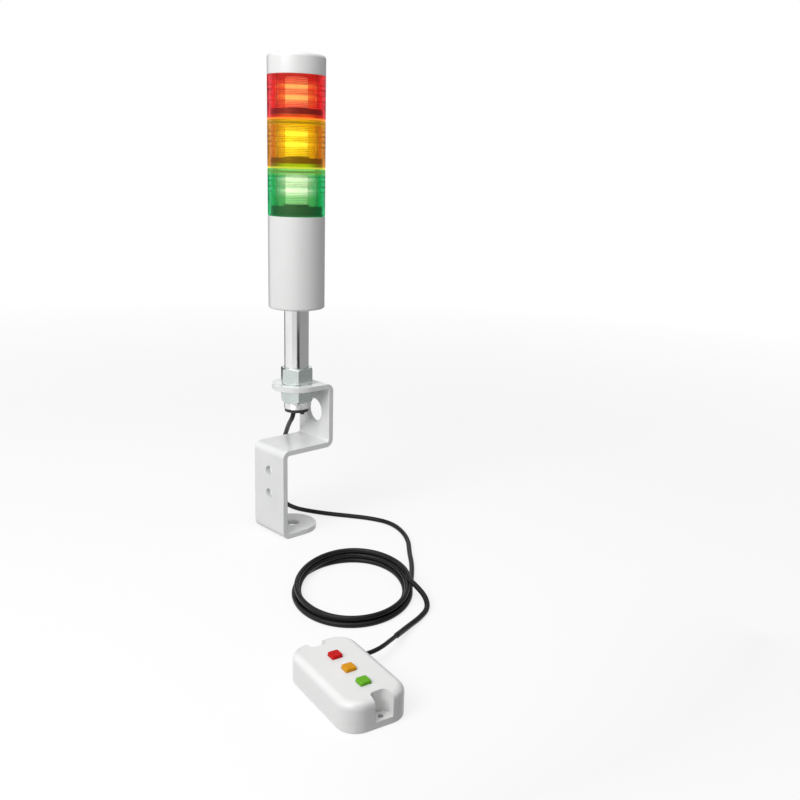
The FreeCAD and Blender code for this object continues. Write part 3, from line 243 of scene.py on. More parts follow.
class Effect:
    """Shader node groups with named inputs and outputs, each built once."""

    made: dict[Shade, bpy.types.NodeTree] = {}

    @classmethod
    def begin(
        cls, shade: Shade, inputs: dict[str, float], outputs: dict[str, str]
    ) -> tuple[Tree, Node, Node]:
        """Makes the group and its sockets.

        Args:
            shade: The effect.
            inputs: Number inputs and their usual values.
            outputs: Outputs and their socket types.

        Returns:
            The tree, its input node and its output node.
        """
        group = bpy.data.node_groups.new(shade.value, "ShaderNodeTree")
        for title, usual in inputs.items():
            socket = group.interface.new_socket(
                title, in_out="INPUT", socket_type="NodeSocketFloat")
            socket.default_value = usual
        for title, kind in outputs.items():
            group.interface.new_socket(title, in_out="OUTPUT", socket_type=kind)
        cls.made[shade] = group
        tree = Tree(group)
        return tree, tree.add("NodeGroupInput"), tree.add("NodeGroupOutput")

    @classmethod
    def place(cls, tree: Tree, shade: Shade, **values: object) -> Node:
        """Places the group in a material.

        Args:
            tree: The material's tree.
            shade: The effect.
            **values: Its inputs, with _ for a space.

        Returns:
            The group node.
        """
        if shade not in cls.made:
            builders = {
                Shade.MOTTLE: cls.mottle, Shade.EDGES: cls.edges, Shade.STROKES: cls.strokes}
            builders[shade]()
        return tree.add("ShaderNodeGroup", {"node_tree": cls.made[shade]}, **values)

    @classmethod
    def mottled(cls, tree: Tree, scales: Pair) -> tuple[Socket, Socket]:
        """Places the mottle.

        Args:
            tree: The material's tree.
            scales: Scale of its clouds and of its grain.

        Returns:
            Its cloudy shade and its grain.
        """
        node = cls.place(tree, Shade.MOTTLE, Cloud_Scale=scales[0], Grain_Scale=scales[1])
        return node.outputs["Cloud"], node.outputs["Grain"]

    @classmethod
    def mottle(cls) -> None:
        """Cloudy shade and fine grain over a surface."""
        tree, given, result = cls.begin(
            Shade.MOTTLE, {"Cloud Scale": 40.0, "Grain Scale": 900.0},
            {"Cloud": "NodeSocketFloat", "Grain": "NodeSocketFloat"},
        )
        place = tree.add("ShaderNodeTexCoord").outputs["Object"]
        cloud, grain = (
            tree.add("ShaderNodeTexNoise", Vector=place, Scale=given.outputs[title], Detail=detail)
            for title, detail in (("Cloud Scale", 3.0), ("Grain Scale", 2.0))
        )
        cloud_range = (0.3, 0.7)
        tree.wire(result, Cloud=tree.span(cloud.outputs["Fac"], cloud_range),
                  Grain=grain.outputs["Fac"])

    @classmethod
    def edges(cls) -> None:
        """Mask and softened normal along the edges of a piece."""
        tree, given, result = cls.begin(
            Shade.EDGES, {"Width": 0.0006},
            {"Edge": "NodeSocketFloat", "Normal": "NodeSocketVector"},
        )
        soft = tree.add("ShaderNodeBevel", {"samples": 4}, Radius=given.outputs["Width"])
        true = tree.add("ShaderNodeNewGeometry")
        likeness = tree.add(
            "ShaderNodeVectorMath", {"operation": "DOT_PRODUCT"}, soft.outputs[0],
            true.outputs["Normal"])
        flat_to_edge = (1.0, 0.85)
        tree.wire(result, Edge=tree.span(likeness.outputs["Value"], flat_to_edge),
                  Normal=soft.outputs[0])

    @classmethod
    def strokes(cls) -> None:
        """Fine drawn lines along the pole axis or across it."""
        tree, given, result = cls.begin(
            Shade.STROKES, {"Across": 1500.0, "Along": 30.0}, {"Stroke": "NodeSocketFloat"})
        place = tree.add("ShaderNodeTexCoord").outputs["Object"]
        parts = tree.add("ShaderNodeSeparateXYZ", Vector=place)
        stretched = tree.add("ShaderNodeCombineXYZ", **{
            side: tree.maths("MULTIPLY", parts.outputs[side], given.outputs[scale])
            for side, scale in (("X", "Across"), ("Y", "Across"), ("Z", "Along"))
        })
        lines = tree.add(
            "ShaderNodeTexNoise", Vector=stretched.outputs[0], Scale=1.0, Detail=3.0)
        tree.wire(result, Stroke=lines.outputs["Fac"])


# ---- finishes ----


def blank(name: str) -> tuple[Material, Tree]:
    """Makes a material without nodes.

    Args:
        name: Name of the material.

    Returns:
        The material and its empty tree.
    """
    material = bpy.data.materials.new(name)
    material.use_nodes = True
    material.node_tree.nodes.clear()
    return material, Tree(material.node_tree)


def around(middle: float, width: float) -> Span:
    """Ends of a range of some width about its middle."""
    return middle - width / 2, middle + width / 2


@dataclass(frozen=True)
class Finish:
    """A finish of the stack light, and the slot of the record that it belongs to."""

    slot: str
    colour: Colour

    def fresh(self) -> tuple[Material, Tree, Node]:
        """Starts the material.

        Returns:
            The material, its tree and its shader.
        """
        material, tree = blank(self.slot)
        shader = tree.add("ShaderNodeBsdfPrincipled")
        tree.add("ShaderNodeOutputMaterial", Surface=shader.outputs[0])
        return material, tree, shader

    def make(self) -> Material:
        """Makes the material of this finish."""
        raise NotImplementedError


@dataclass(frozen=True)
class Moulded(Finish):
    """Injection-moulded plastic, rubber or painted plate."""

    second: Colour
    roughness: float = 0.35
    rough_span: float = 0.12
    # Colour of the edges: rubbing and a painted edge highlight.
    highlight_and_wear: Colour = (0.9, 0.9, 0.9)
    coat: float = 0.0
    coat_roughness: float = 0.12
    shine: float = 0.5
    edge_width: float = 0.0006
    highlight_and_wear_share: Span = (0.1, 0.45)
    mottle: Pair = (35.0, 1400.0)
    grain_range: Span = (0.4, 0.6)
    grain_depth: float = 0.00003

    def make(self) -> Material:
        """Mixes a clouded colour, lighter edges that are partly rubbing and partly a painted edge
        highlight, and a fine texture.

        Returns:
            The material.
        """
        material, tree, shader = self.fresh()
        cloud, grain = Effect.mottled(tree, self.mottle)
        edges = Effect.place(tree, Shade.EDGES, Width=self.edge_width)
        # Lighter edges: partly rubbing, partly a painted edge highlight.
        highlight_and_wear_share = tree.maths(
            "MULTIPLY", edges.outputs["Edge"], tree.span(grain, self.grain_range, self.highlight_and_wear_share))
        tree.wire(
            shader,
            Base_Color=tree.mix(highlight_and_wear_share, tree.mix(cloud, self.colour, self.second), self.highlight_and_wear),
            Roughness=tree.span(cloud, RISING, around(self.roughness, self.rough_span)),
            Normal=tree.relief(grain, self.grain_depth, Normal=edges.outputs["Normal"]),
            Specular_IOR_Level=self.shine,
            Coat_Weight=self.coat,
            Coat_Roughness=self.coat_roughness,
        )
        return material


@dataclass(frozen=True)
class Drawn(Finish):
    """Bare or plated metal with fine drawn lines."""

    second: Colour
    roughness: float = 0.25
    rough_span: float = 0.1
    across: float = 1500.0
    along: float = 30.0
    stroke_depth: float = 0.00001
    stroke_share: float = 0.7
    stroke_range: Span = (0.25, 0.75)
    edge_width: float = 0.0005
    # Share and colour of the lighter edges: polish and a painted edge highlight.
    highlight_and_wear_share: float = 0.5
    highlight_and_wear: Colour = (0.85, 0.85, 0.83)
    mottle: Pair = (60.0, 700.0)

    def make(self) -> Material:
        """Draws lines in roughness and relief, and lightens the edges: polish and a painted edge
        highlight.

        Returns:
            The material.
        """
        material, tree, shader = self.fresh()
        cloud, _ = Effect.mottled(tree, self.mottle)
        stroke = Effect.place(
            tree, Shade.STROKES, Across=self.across, Along=self.along).outputs["Stroke"]
        edges = Effect.place(tree, Shade.EDGES, Width=self.edge_width)
        # Lighter edges: polish and a painted edge highlight.
        highlight_and_wear_share = tree.maths("MULTIPLY", edges.outputs["Edge"], self.highlight_and_wear_share)
        shade = tree.maths(
            "ADD", tree.maths("MULTIPLY", stroke, self.stroke_share),
            tree.maths("MULTIPLY", cloud, 1.0 - self.stroke_share))
        tree.wire(
            shader,
            Base_Color=tree.mix(highlight_and_wear_share, tree.mix(cloud, self.colour, self.second), self.highlight_and_wear),
            Roughness=tree.span(
                shade, self.stroke_range, around(self.roughness, self.rough_span)),
            Normal=tree.relief(stroke, self.stroke_depth, Normal=edges.outputs["Normal"]),
            Metallic=1.0,
        )
        return material


@dataclass(frozen=True)
class ClearLens(Finish):
    """Tinted clear plastic of a tier, deep at its sides, painted bright at rows and seams with
    painted light, and with a painted shade in its upper corners.

    Levels are counted from the foot of the lens, and fades are ranges in metres.
    """

    tier: TierColour
    deep: Colour
    # Painted light: a paler glow round the rows, and a painted highlight at them.
    row_glow: Colour
    pale: Colour
    # Emission colours of a painted glow: above the top joint, along the foot and over the rest.
    seam_glow: Colour
    foot: Colour
    glow: Colour
    rough: Span = (0.04, 0.08)
    transmission: float = 0.94
    index: float = 1.2
    shine: float = 0.25
    mottle: Pair = (30.0, 1600.0)
    grain_depth: float = 0.00001
    front_to_side: Span = (0.06, 0.38)
    zone_fade: Span = (0.003, 0.006)
    row_fade: Span = (0.0014, 0.0023)
    row_share: Span = (0.7, 0.9)
    seam_levels: Span = (0.0345, 0.0365)
    foot_levels: Span = (0.0008, 0.0020)
    # Painted shade in the upper corners, under the piece above.
    corner_sides: Span = (0.3, 1.0)
    corner_share: Span = (0.0, 0.7)
    corner_shade: float = 0.35

    def tint(
        self, tree: Tree, level: Socket, upper: Socket,
        cloud: Socket,
    ) -> Socket:
        """Adds the colour of the plastic, with painted light round the rows and a painted shade in
        the upper corners.

        Args:
            tree: The material's tree.
            level: Level on the lens.
            upper: Mask of the joint at its top, where a painted shade darkens the corners.
            cloud: Cloudy shade.

        Returns:
            Its colour: a painted highlight at the rows, a paler painted glow between and round
                them, deep at the sides and a painted shade in the upper corners.
        """
        slope = tree.add("ShaderNodeLayerWeight", Blend=0.5).outputs["Facing"]
        side = tree.span(slope, self.front_to_side)
        low, high = ROWS[self.tier]
        middle, reach = (low + high) / 2, (high - low) / 2
        away = tree.apart(level, middle)
        # Painted light: a paler glow round the rows, palest at them.
        row_glow = tree.span(away, tuple(reach + fade for fade in self.zone_fade), FALLING)
        row = tree.span(tree.apart(away, reach), self.row_fade, FALLING)
        share = tree.maths("MULTIPLY", row, tree.span(cloud, RISING, self.row_share))
        front = tree.mix(share, tree.mix(row_glow, self.colour, self.row_glow), self.pale)
        # Painted shade in the upper corners of the sides.
        corner = tree.maths(
            "MULTIPLY", upper, tree.span(side, self.corner_sides, self.corner_share))
        shaded = tuple(self.corner_shade * part for part in self.deep)
        return tree.mix(corner, tree.mix(side, front, self.deep), shaded)

    def make(self) -> Material:
        """Makes the tint and a painted glow that follows the level on the lens: faint, brighter
        above the top joint and along a line at its foot.

        Returns:
            The material.
        """
        material, tree, shader = self.fresh()
        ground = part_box(f"{self.tier.value}_lens")[0].z
        level = tree.maths("SUBTRACT", tree.height(), ground)
        cloud, grain = Effect.mottled(tree, self.mottle)
        # Masks of the painted glow above the top joint and along the foot; upper also places the
        # painted shade.
        upper = tree.span(level, self.seam_levels)
        line = tree.span(level, self.foot_levels, FALLING)
        tree.wire(
            shader,
            Base_Color=self.tint(tree, level, upper, cloud),
            Roughness=tree.span(cloud, RISING, self.rough),
            Normal=tree.relief(grain, self.grain_depth),
            # Painted glow of the lens.
            Emission_Color=tree.mix(line, tree.mix(upper, self.glow, self.seam_glow), self.foot),
            Emission_Strength=1.0,
            Specular_IOR_Level=self.shine,
            Transmission_Weight=self.transmission,
            IOR=self.index,
        )
        return material


@dataclass(frozen=True)
class Frosted(Finish):
    """Milky plastic of a light column, with a painted glow that is brighter at the LED rows."""

    # Emission colours of the painted glow, at the rows and elsewhere; lit also tints the clouds.
    lit: Colour = (1.0, 1.0, 0.96)
    dim: Colour = (0.55, 0.55, 0.52)
    strength: float = 0.6
    rows: tuple[float, ...] = (0.3108, 0.3197, 0.3508, 0.3597, 0.3880, 0.3964)
    row_fade: Span = (0.0014, 0.0030)
    rough: Span = (0.4, 0.6)
    mottle: Pair = (150.0, 1500.0)
    grain_range: Span = (0.3, 0.7)
    grain_depth: float = 0.00004

    def make(self) -> Material:
        """Makes a milky body with a painted glow, faint all over and brighter at the rows.

        Returns:
            The material.
        """
        material, tree, shader = self.fresh()
        height = tree.height()
        cloud, grain = Effect.mottled(tree, self.mottle)
        # Painted glow at the LED rows.
        near = [tree.span(tree.apart(height, row), self.row_fade, FALLING) for row in self.rows]
        glow_bands = near[0]
        for band in near[1:]:
            glow_bands = tree.maths("MAXIMUM", glow_bands, band)
        tree.wire(
            shader,
            Base_Color=tree.mix(cloud, self.colour, self.lit),
            Roughness=tree.span(grain, self.grain_range, self.rough),
            Normal=tree.relief(grain, self.grain_depth),
            Emission_Color=tree.mix(glow_bands, self.dim, self.lit),
            Emission_Strength=self.strength,
        )
        return material


@dataclass(frozen=True)
class Glow(Finish):
    """LED package: pale body, bright phosphor."""

    lit: Colour
    strength: float = 1.0
    rough: Span = (0.25, 0.4)
    mottle: Pair = (200.0, 2500.0)
    grain_range: Span = (0.3, 0.7)

    def make(self) -> Material:
        """Makes a pale plastic with a faint light of its own.

        Returns:
            The material.
        """
        material, tree, shader = self.fresh()
        cloud, grain = Effect.mottled(tree, self.mottle)
        tree.wire(
            shader,
            Base_Color=tree.mix(cloud, self.colour, self.lit),
            Roughness=tree.span(grain, self.grain_range, self.rough),
            Emission_Color=tree.mix(cloud, self.lit, self.colour),
            Emission_Strength=self.strength,
        )
        return material


@dataclass(frozen=True)
class Jacket(Finish):
    """Black cable jacket, pulled smooth, with slight waves and a fine grain."""

    second: Colour
    rough: Span = (0.30, 0.46)
    shine: float = 0.22
    mottle: Pair = (55.0, 1500.0)
    grain_depth: float = 0.00006

    def make(self) -> Material:
        """Makes the jacket.

        Returns:
            The material.
        """
        material, tree, shader = self.fresh()
        cloud, grain = Effect.mottled(tree, self.mottle)
        tree.wire(
            shader,
            Base_Color=tree.mix(cloud, self.colour, self.second),
            Roughness=tree.span(cloud, RISING, self.rough),
            Normal=tree.relief(grain, self.grain_depth),
            Specular_IOR_Level=self.shine,
        )
        return material


# The sixth value of each Moulded finish colours its edges: rubbing and a painted edge highlight.
FINISHES: tuple[Finish, ...] = (
    Moulded("white_plastic", (0.83, 0.83, 0.825), (0.812, 0.814, 0.808), 0.3, 0.05,
            (0.87, 0.87, 0.87), coat=0.25),
    Moulded("seal_rubber", (0.02, 0.02, 0.021), (0.035, 0.035, 0.036), 0.6, 0.15,
            (0.07, 0.07, 0.07)),
    Drawn("screw_steel", (0.62, 0.62, 0.6), (0.5, 0.5, 0.48), 0.3),
    Moulded("dark_plastic", (0.018, 0.018, 0.02), (0.03, 0.03, 0.032), 0.42, 0.14,
            (0.09, 0.09, 0.09)),
    Moulded("circuit_board", (0.02, 0.16, 0.07), (0.03, 0.22, 0.1), 0.35, 0.1,
            (0.45, 0.42, 0.28)),
    Moulded("component", (0.03, 0.03, 0.035), (0.12, 0.11, 0.1), 0.4, 0.2, (0.2, 0.2, 0.2)),
    Moulded("terminal_plastic", (0.05, 0.28, 0.12), (0.07, 0.34, 0.16), 0.4, 0.12,
            (0.2, 0.5, 0.3)),
    Drawn("pole_steel", (0.86, 0.86, 0.86), (0.8, 0.8, 0.8), 0.16, 0.06),
    Drawn("nut_steel", (0.66, 0.72, 0.7), (0.56, 0.62, 0.6), 0.28, 0.12,
          across=400.0, along=400.0),
    Moulded("bracket_metal", (0.87, 0.878, 0.872), (0.82, 0.83, 0.825), 0.34, 0.12,
            (0.93, 0.93, 0.93), coat=0.15),
    Jacket("cable_jacket", (0.006, 0.006, 0.006), (0.012, 0.012, 0.012)),
    Frosted("frosted", (0.86, 0.86, 0.84)),
    Glow("led", (0.9, 0.75, 0.25), (1.0, 0.82, 0.3)),
    # Lens colours carry painted light round the rows, painted glows and a painted corner shade.
    ClearLens("red_clear", (0.95, 0.23, 0.14), TierColour.RED, deep=(0.85, 0.05, 0.07),
              row_glow=(0.87, 0.35, 0.14), pale=(0.97, 0.60, 0.17), seam_glow=(0.12, 0.008, 0.006),
              foot=(0.47, 0.23, 0.02), glow=(0.03, 0.0006, 0.001)),
    ClearLens("amber_clear", (0.93, 0.73, 0.03), TierColour.AMBER, deep=(0.69, 0.30, 0.03),
              row_glow=(0.97, 0.79, 0.04), pale=(1.0, 0.86, 0.08), seam_glow=(0.16, 0.10, 0.001),
              foot=(0.29, 0.39, 0.05), glow=(0.03, 0.0084, 0.0)),
    ClearLens("green_clear", (0.37, 0.68, 0.33), TierColour.GREEN, deep=(0.02, 0.57, 0.21),
              row_glow=(0.68, 0.77, 0.54), pale=(0.87, 0.89, 0.73), seam_glow=(0.08, 0.13, 0.025),
              foot=(0.0, 0.05, 0.015), glow=(0.0003, 0.012, 0.0024)),
    Moulded("red_key", (0.58, 0.005, 0.004), (0.52, 0.004, 0.003), 0.45, 0.1,
            (0.75, 0.05, 0.04), shine=0.12),
    Moulded("amber_key", (0.72, 0.31, 0.004), (0.66, 0.28, 0.003), 0.45, 0.1,
            (0.85, 0.48, 0.06), shine=0.12),
    Moulded("green_key", (0.15, 0.46, 0.02), (0.13, 0.42, 0.015), 0.45, 0.1,
            (0.3, 0.64, 0.1), shine=0.12),
)


class Wardrobe:
    """All finishes as materials, and what wears them."""

    def __init__(self) -> None:
        """Makes every finish once."""
        self.materials = {finish.slot: finish.make() for finish in FINISHES}

    def dress_frame(self) -> None:
        """Gives every CAD node the finish of its slot."""
        for part in frame["record"]["subparts"]:
            node = frame["nodes"][part["node"]]
            for place in node.material_slots:
                place.material = self.materials[part["material_slot"]]
        LOG.info("dressed %d CAD nodes", len(frame["nodes"]))

    def dress(self, piece: Piece, slot: str) -> None:
        """Gives a new piece a finish.

        Args:
            piece: The piece.
            slot: Slot of the record.
        """
        piece.data.materials.clear()
        piece.data.materials.append(self.materials[slot])


# ---- modelling ----


def hang(name: str, data: bpy.types.ID) -> Piece:
    """Makes an object and adds it to the scene.

    Args:
        name: Name of the object.
        data: Its mesh, light or camera.

    Returns:
        The object.
    """
    made = bpy.data.objects.new(name, data)
    bpy.context.scene.collection.objects.link(made)
    return made


@dataclass
class Assembly:
    """A sub-assembly, and the modelling moves that all of them share."""

    wardrobe: Wardrobe

    def build(self) -> None:
        """Makes, dresses and hangs its pieces."""
        raise NotImplementedError

    @staticmethod
    def clear() -> None:
        """Leaves edit mode with nothing selected."""
        if bpy.context.object is not None and bpy.context.object.mode != "OBJECT":
            bpy.ops.object.mode_set(mode="OBJECT")
        bpy.ops.object.select_all(action="DESELECT")

    @staticmethod
    def begin(name: str) -> Piece:
        """Takes the primitive just added as a new piece, with its place in its mesh.

        Args:
            name: Name of the piece.

        Returns:
            The piece, in edit mode with everything selected.
        """
        piece = bpy.context.object
        piece.name = piece.data.name = name
        bpy.ops.object.transform_apply(location=True, rotation=True, scale=True)
        bpy.ops.object.mode_set(mode="EDIT")
        bpy.ops.mesh.select_all(action="SELECT")
        return piece

    def finish(self, piece: Piece, slot: str, *nodes: str, smooth: float = 32.0) -> None:
        """Closes, smooths, dresses and hangs a piece on the tower.

        Args:
            piece: The piece.
            slot: Slot of its finish.
            *nodes: CAD nodes that it stands for.
            smooth: Greatest angle that is shaded smooth, in degrees.
        """
        bpy.ops.mesh.select_all(action="SELECT")
        bpy.ops.mesh.remove_doubles(threshold=SAME_CORNER)
        bpy.ops.mesh.normals_make_consistent(inside=False)
        bpy.ops.object.mode_set(mode="OBJECT")
        bpy.ops.object.shade_smooth_by_angle(angle=math.radians(smooth))
        self.clear()
        self.wardrobe.dress(piece, slot)
        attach(piece, "tower")
        if nodes:
            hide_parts(*nodes)
        LOG.info("%s: %d faces", piece.name, len(piece.data.polygons))

    @classmethod
    def turned(cls, name: str, outline: list[Corner], axis: Point, steps: int) -> Piece:
        """Turns a half section about an upright axis.

        Args:
            name: Name of the piece.
            outline: Radius and height of each corner.
            axis: Foot of the axis.
            steps: Steps of the full turn.

        Returns:
            The piece, in edit mode.
        """
        cls.clear()
        (radius, height), rest = outline[0], outline[1:]
        start = (axis[0] + radius, axis[1], axis[2] + height)
        bpy.ops.mesh.primitive_plane_add(size=SEED, location=start)
        piece = cls.begin(name)
        bpy.ops.mesh.merge(type="CENTER")
        for next_radius, next_height in rest:
            move = (next_radius - radius, 0.0, next_height - height)
            bpy.ops.mesh.extrude_vertices_move(TRANSFORM_OT_translate={"value": move})
            radius, height = next_radius, next_height
        bpy.ops.mesh.select_all(action="SELECT")
        bpy.ops.mesh.spin(steps=steps, angle=math.tau, center=axis, axis=(0.0, 0.0, 1.0))
        return piece


# ---- tower ----


@dataclass
class LightTier(Assembly):
    """One light tier: the lens with its ring prisms and the fluted light column.

    The lens has a neck that enters the piece above it. Inside it small ribs follow each
    other from top to foot, and rounded rings take their place at the two bright rows.
    """

    colour: TierColour
    covered: float = 0.0
    steps: int = 144
    lens_smooth: float = 28.0
    wall: float = 0.0022
    chamfer: float = 0.0004
    neck: float = 0.0045
    neck_gap: float = 0.0004
    neck_wall: float = 0.0016
    neck_root: float = 0.0015
    shoulder: float = 0.0035
    lip: float = 0.0012
    lip_height: float = 0.0014
    prisms_below: float = 0.0040
    prisms_end: float = 0.0100
    ring_reach: float = 0.0024
    ring_depth: float = 0.0009
    ring_step: float = 0.0004
    rib_depth: float = 0.0004
    rib_edge: float = 0.0002
    rib_slope: float = 0.0011
    rib_pitch: float = 0.0014
    set_back: float = 0.0008
    skirt_gap: float = 0.0001
    flutes: int = 40
    groove: float = 0.955
    column_smooth: float = 50.0
    column_stages: tuple[Pair, ...] = (
        (0.06, 1.0), (0.44, 0.985), (0.44, 1.015), (0.04, 1.0), (0.02, 0.93))
    top_rim: float = 0.0015
    top_dish: Pair = (0.0008, 0.0006)

    def lens_section(self, radius: float, height: float) -> list[Corner]:
        """Half section of the lens.

        Args:
            radius: Outside radius.
            height: Height without the neck.

        Returns:
            Corners of the closed section.
        """
        inside = radius - self.wall
        neck = inside - self.neck_gap
        bore = neck - self.neck_wall
        lip = radius - self.lip
        section = [
            (lip, 0.0), (radius - self.chamfer, 0.0), (radius, self.chamfer),
            (radius, height / 2), *self.rim(radius, height), (neck, height),
            (neck, height + self.neck), (bore, height + self.neck),
            (bore, height - self.neck_root), (inside, height - self.shoulder),
        ]
        level = height - self.prisms_below
        while level > self.prisms_end:
            near = min(abs(level - row) for row in ROWS[self.colour])
            if near < self.ring_reach:
                bulge = self.ring_depth * (1 - (near / self.ring_reach) ** 2)
                section.append((inside - bulge, level))
                level -= self.ring_step
            else:
                section += [
                    (inside, level), (inside - self.rib_depth, level - self.rib_edge),
                    (inside, level - self.rib_slope),
                ]
                level -= self.rib_pitch
        return section + [(inside, self.lip_height), (lip, self.lip_height), (lip, 0.0)]

    def rim(self, radius: float, height: float) -> list[Corner]:
        """Upper outside edge of the lens, set back where the cap's skirt covers it.

        Args:
            radius: Outside radius.
            height: Height without the neck.

        Returns:
            Corners from the outside up to the top.
        """
        if not self.covered:
            return [(radius, height - self.chamfer), (radius - self.chamfer, height)]
        back = radius - self.set_back
        ledge = height - self.covered - self.skirt_gap
        return [(radius, ledge), (back, ledge), (back, height)]

    def lens(self) -> None:
        """Turns the lens."""
        name = self.colour.value
        outer = Upright.of(f"{name}_lens")
        section = self.lens_section(outer.radius, outer.height - self.neck)
        piece = self.turned(f"{name}_lens_shell", section, outer.axis, self.steps)
        self.finish(piece, f"{name}_clear", f"{name}_lens", smooth=self.lens_smooth)

    def column(self) -> None:
        """Draws the fluted column with a stepped, closed top."""
        name = self.colour.value
        outer = Upright.of(f"{name}_column")
        foot = (*Upright.of(f"{name}_lens").axis[:2], outer.axis[2])
        self.clear()
        bpy.ops.mesh.primitive_circle_add(
            vertices=2 * self.flutes, radius=outer.radius, fill_type="NGON", location=foot)
        piece = self.begin(f"{name}_light_column")
        mesh = bmesh.from_edit_mesh(piece.data)
        mesh.verts.ensure_lookup_table()
        for vertex in mesh.verts:
            vertex.select_set(vertex.index % 2 == 0)
        mesh.select_flush_mode()
        bmesh.update_edit_mesh(piece.data)
        bpy.ops.transform.resize(value=(self.groove, self.groove, 1.0), center_override=foot)
        bpy.ops.mesh.select_all(action="SELECT")
        for share, shrink in self.column_stages:
            rise = (0.0, 0.0, outer.height * share)
            bpy.ops.mesh.extrude_region_move(TRANSFORM_OT_translate={"value": rise})
            bpy.ops.transform.resize(value=(shrink, shrink, 1.0), center_override=foot)
        dish_width, dish_depth = self.top_dish
        bpy.ops.mesh.inset(thickness=self.top_rim, depth=0.0)
        bpy.ops.mesh.inset(thickness=dish_width, depth=-dish_depth)
        self.finish(piece, "frosted", f"{name}_column", smooth=self.column_smooth)

    def build(self) -> None:
        """Makes the lens and the column."""
        self.lens()
        self.column()


@dataclass
class Cap(Assembly):
    """The white cap: a low dome with a skirt over the upper edge of the red lens."""

    skirt: float = SKIRT
    skirt_wall: float = 0.0007
    bevel: float = 0.0002
    edge: float = 0.0030
    edge_steps: int = 8
    dome: float = 0.0006
    dome_shares: tuple[float, ...] = (0.75, 0.5, 0.25, 0.001)
    wall: float = 0.0030
    ceiling: Pair = (0.0024, 0.0030)
    axis_gap: float = 0.00001
    steps: int = 144
    smooth: float = 30.0

    def outline(self, radius: float, height: float) -> list[Corner]:
        """Half section of the cap.

        Args:
            radius: Outside radius.
            height: Height without the dome.

        Returns:
            Corners of the closed section.
        """
        start = (radius - self.skirt_wall, -self.skirt)
        section = [
            start, (radius - self.bevel, -self.skirt), (radius, self.bevel - self.skirt)]
        for number in range(self.edge_steps + 1):
            angle = math.radians(90.0 * number / self.edge_steps)
            section.append((
                radius - self.edge * (1 - math.cos(angle)),
                height - self.edge * (1 - math.sin(angle)),
            ))
        flat = radius - self.edge
        section += [
            (flat * share, height + self.dome * (1 - share * share))
            for share in self.dome_shares
        ]
        middle, side = self.ceiling
        return section + [
            (self.axis_gap, height - middle), (radius - self.wall, height - side),
            (radius - self.wall, self.bevel), (radius - self.skirt_wall, 0.0), start,
        ]

    def build(self) -> None:
        """Turns the cap."""
        outer = Upright.of("top_cap")
        outline = self.outline(outer.radius, outer.height - self.dome)
        piece = self.turned("cap_shell", outline, outer.axis, self.steps)
        self.finish(piece, "white_plastic", "top_cap", smooth=self.smooth)


@dataclass
class PoleFoot(Assembly):
    """The rolled thread on the lower end of the pole."""

    pitch: float = 0.0010
    depth: float = 0.00045
    root: float = 0.0004
    start: float = 0.0003
    first: float = 0.0006
    half: float = 0.4
    nut_gap: float = 0.0001
    steps: int = 96

    def build(self) -> None:
        """Turns the thread between the pole end and the lower nut."""
        outer = Upright.of("pole")
        radius = outer.radius
        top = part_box("lower_nut")[0].z - self.nut_gap - outer.axis[2]
        outline = [(radius - self.root, self.start)]
        level = self.first
        flank = radius + self.depth * self.half
        while level < top - self.pitch:
            outline += [
                (flank, level), (radius + self.depth, level + self.pitch * self.half),
                (flank, level + self.pitch * 2 * self.half),
            ]
            level += self.pitch
        outline += [(radius - self.root, level), outline[0]]
        piece = self.turned("pole_thread", outline, outer.axis, self.steps)
        self.finish(piece, "pole_steel")


# ---- cable ----


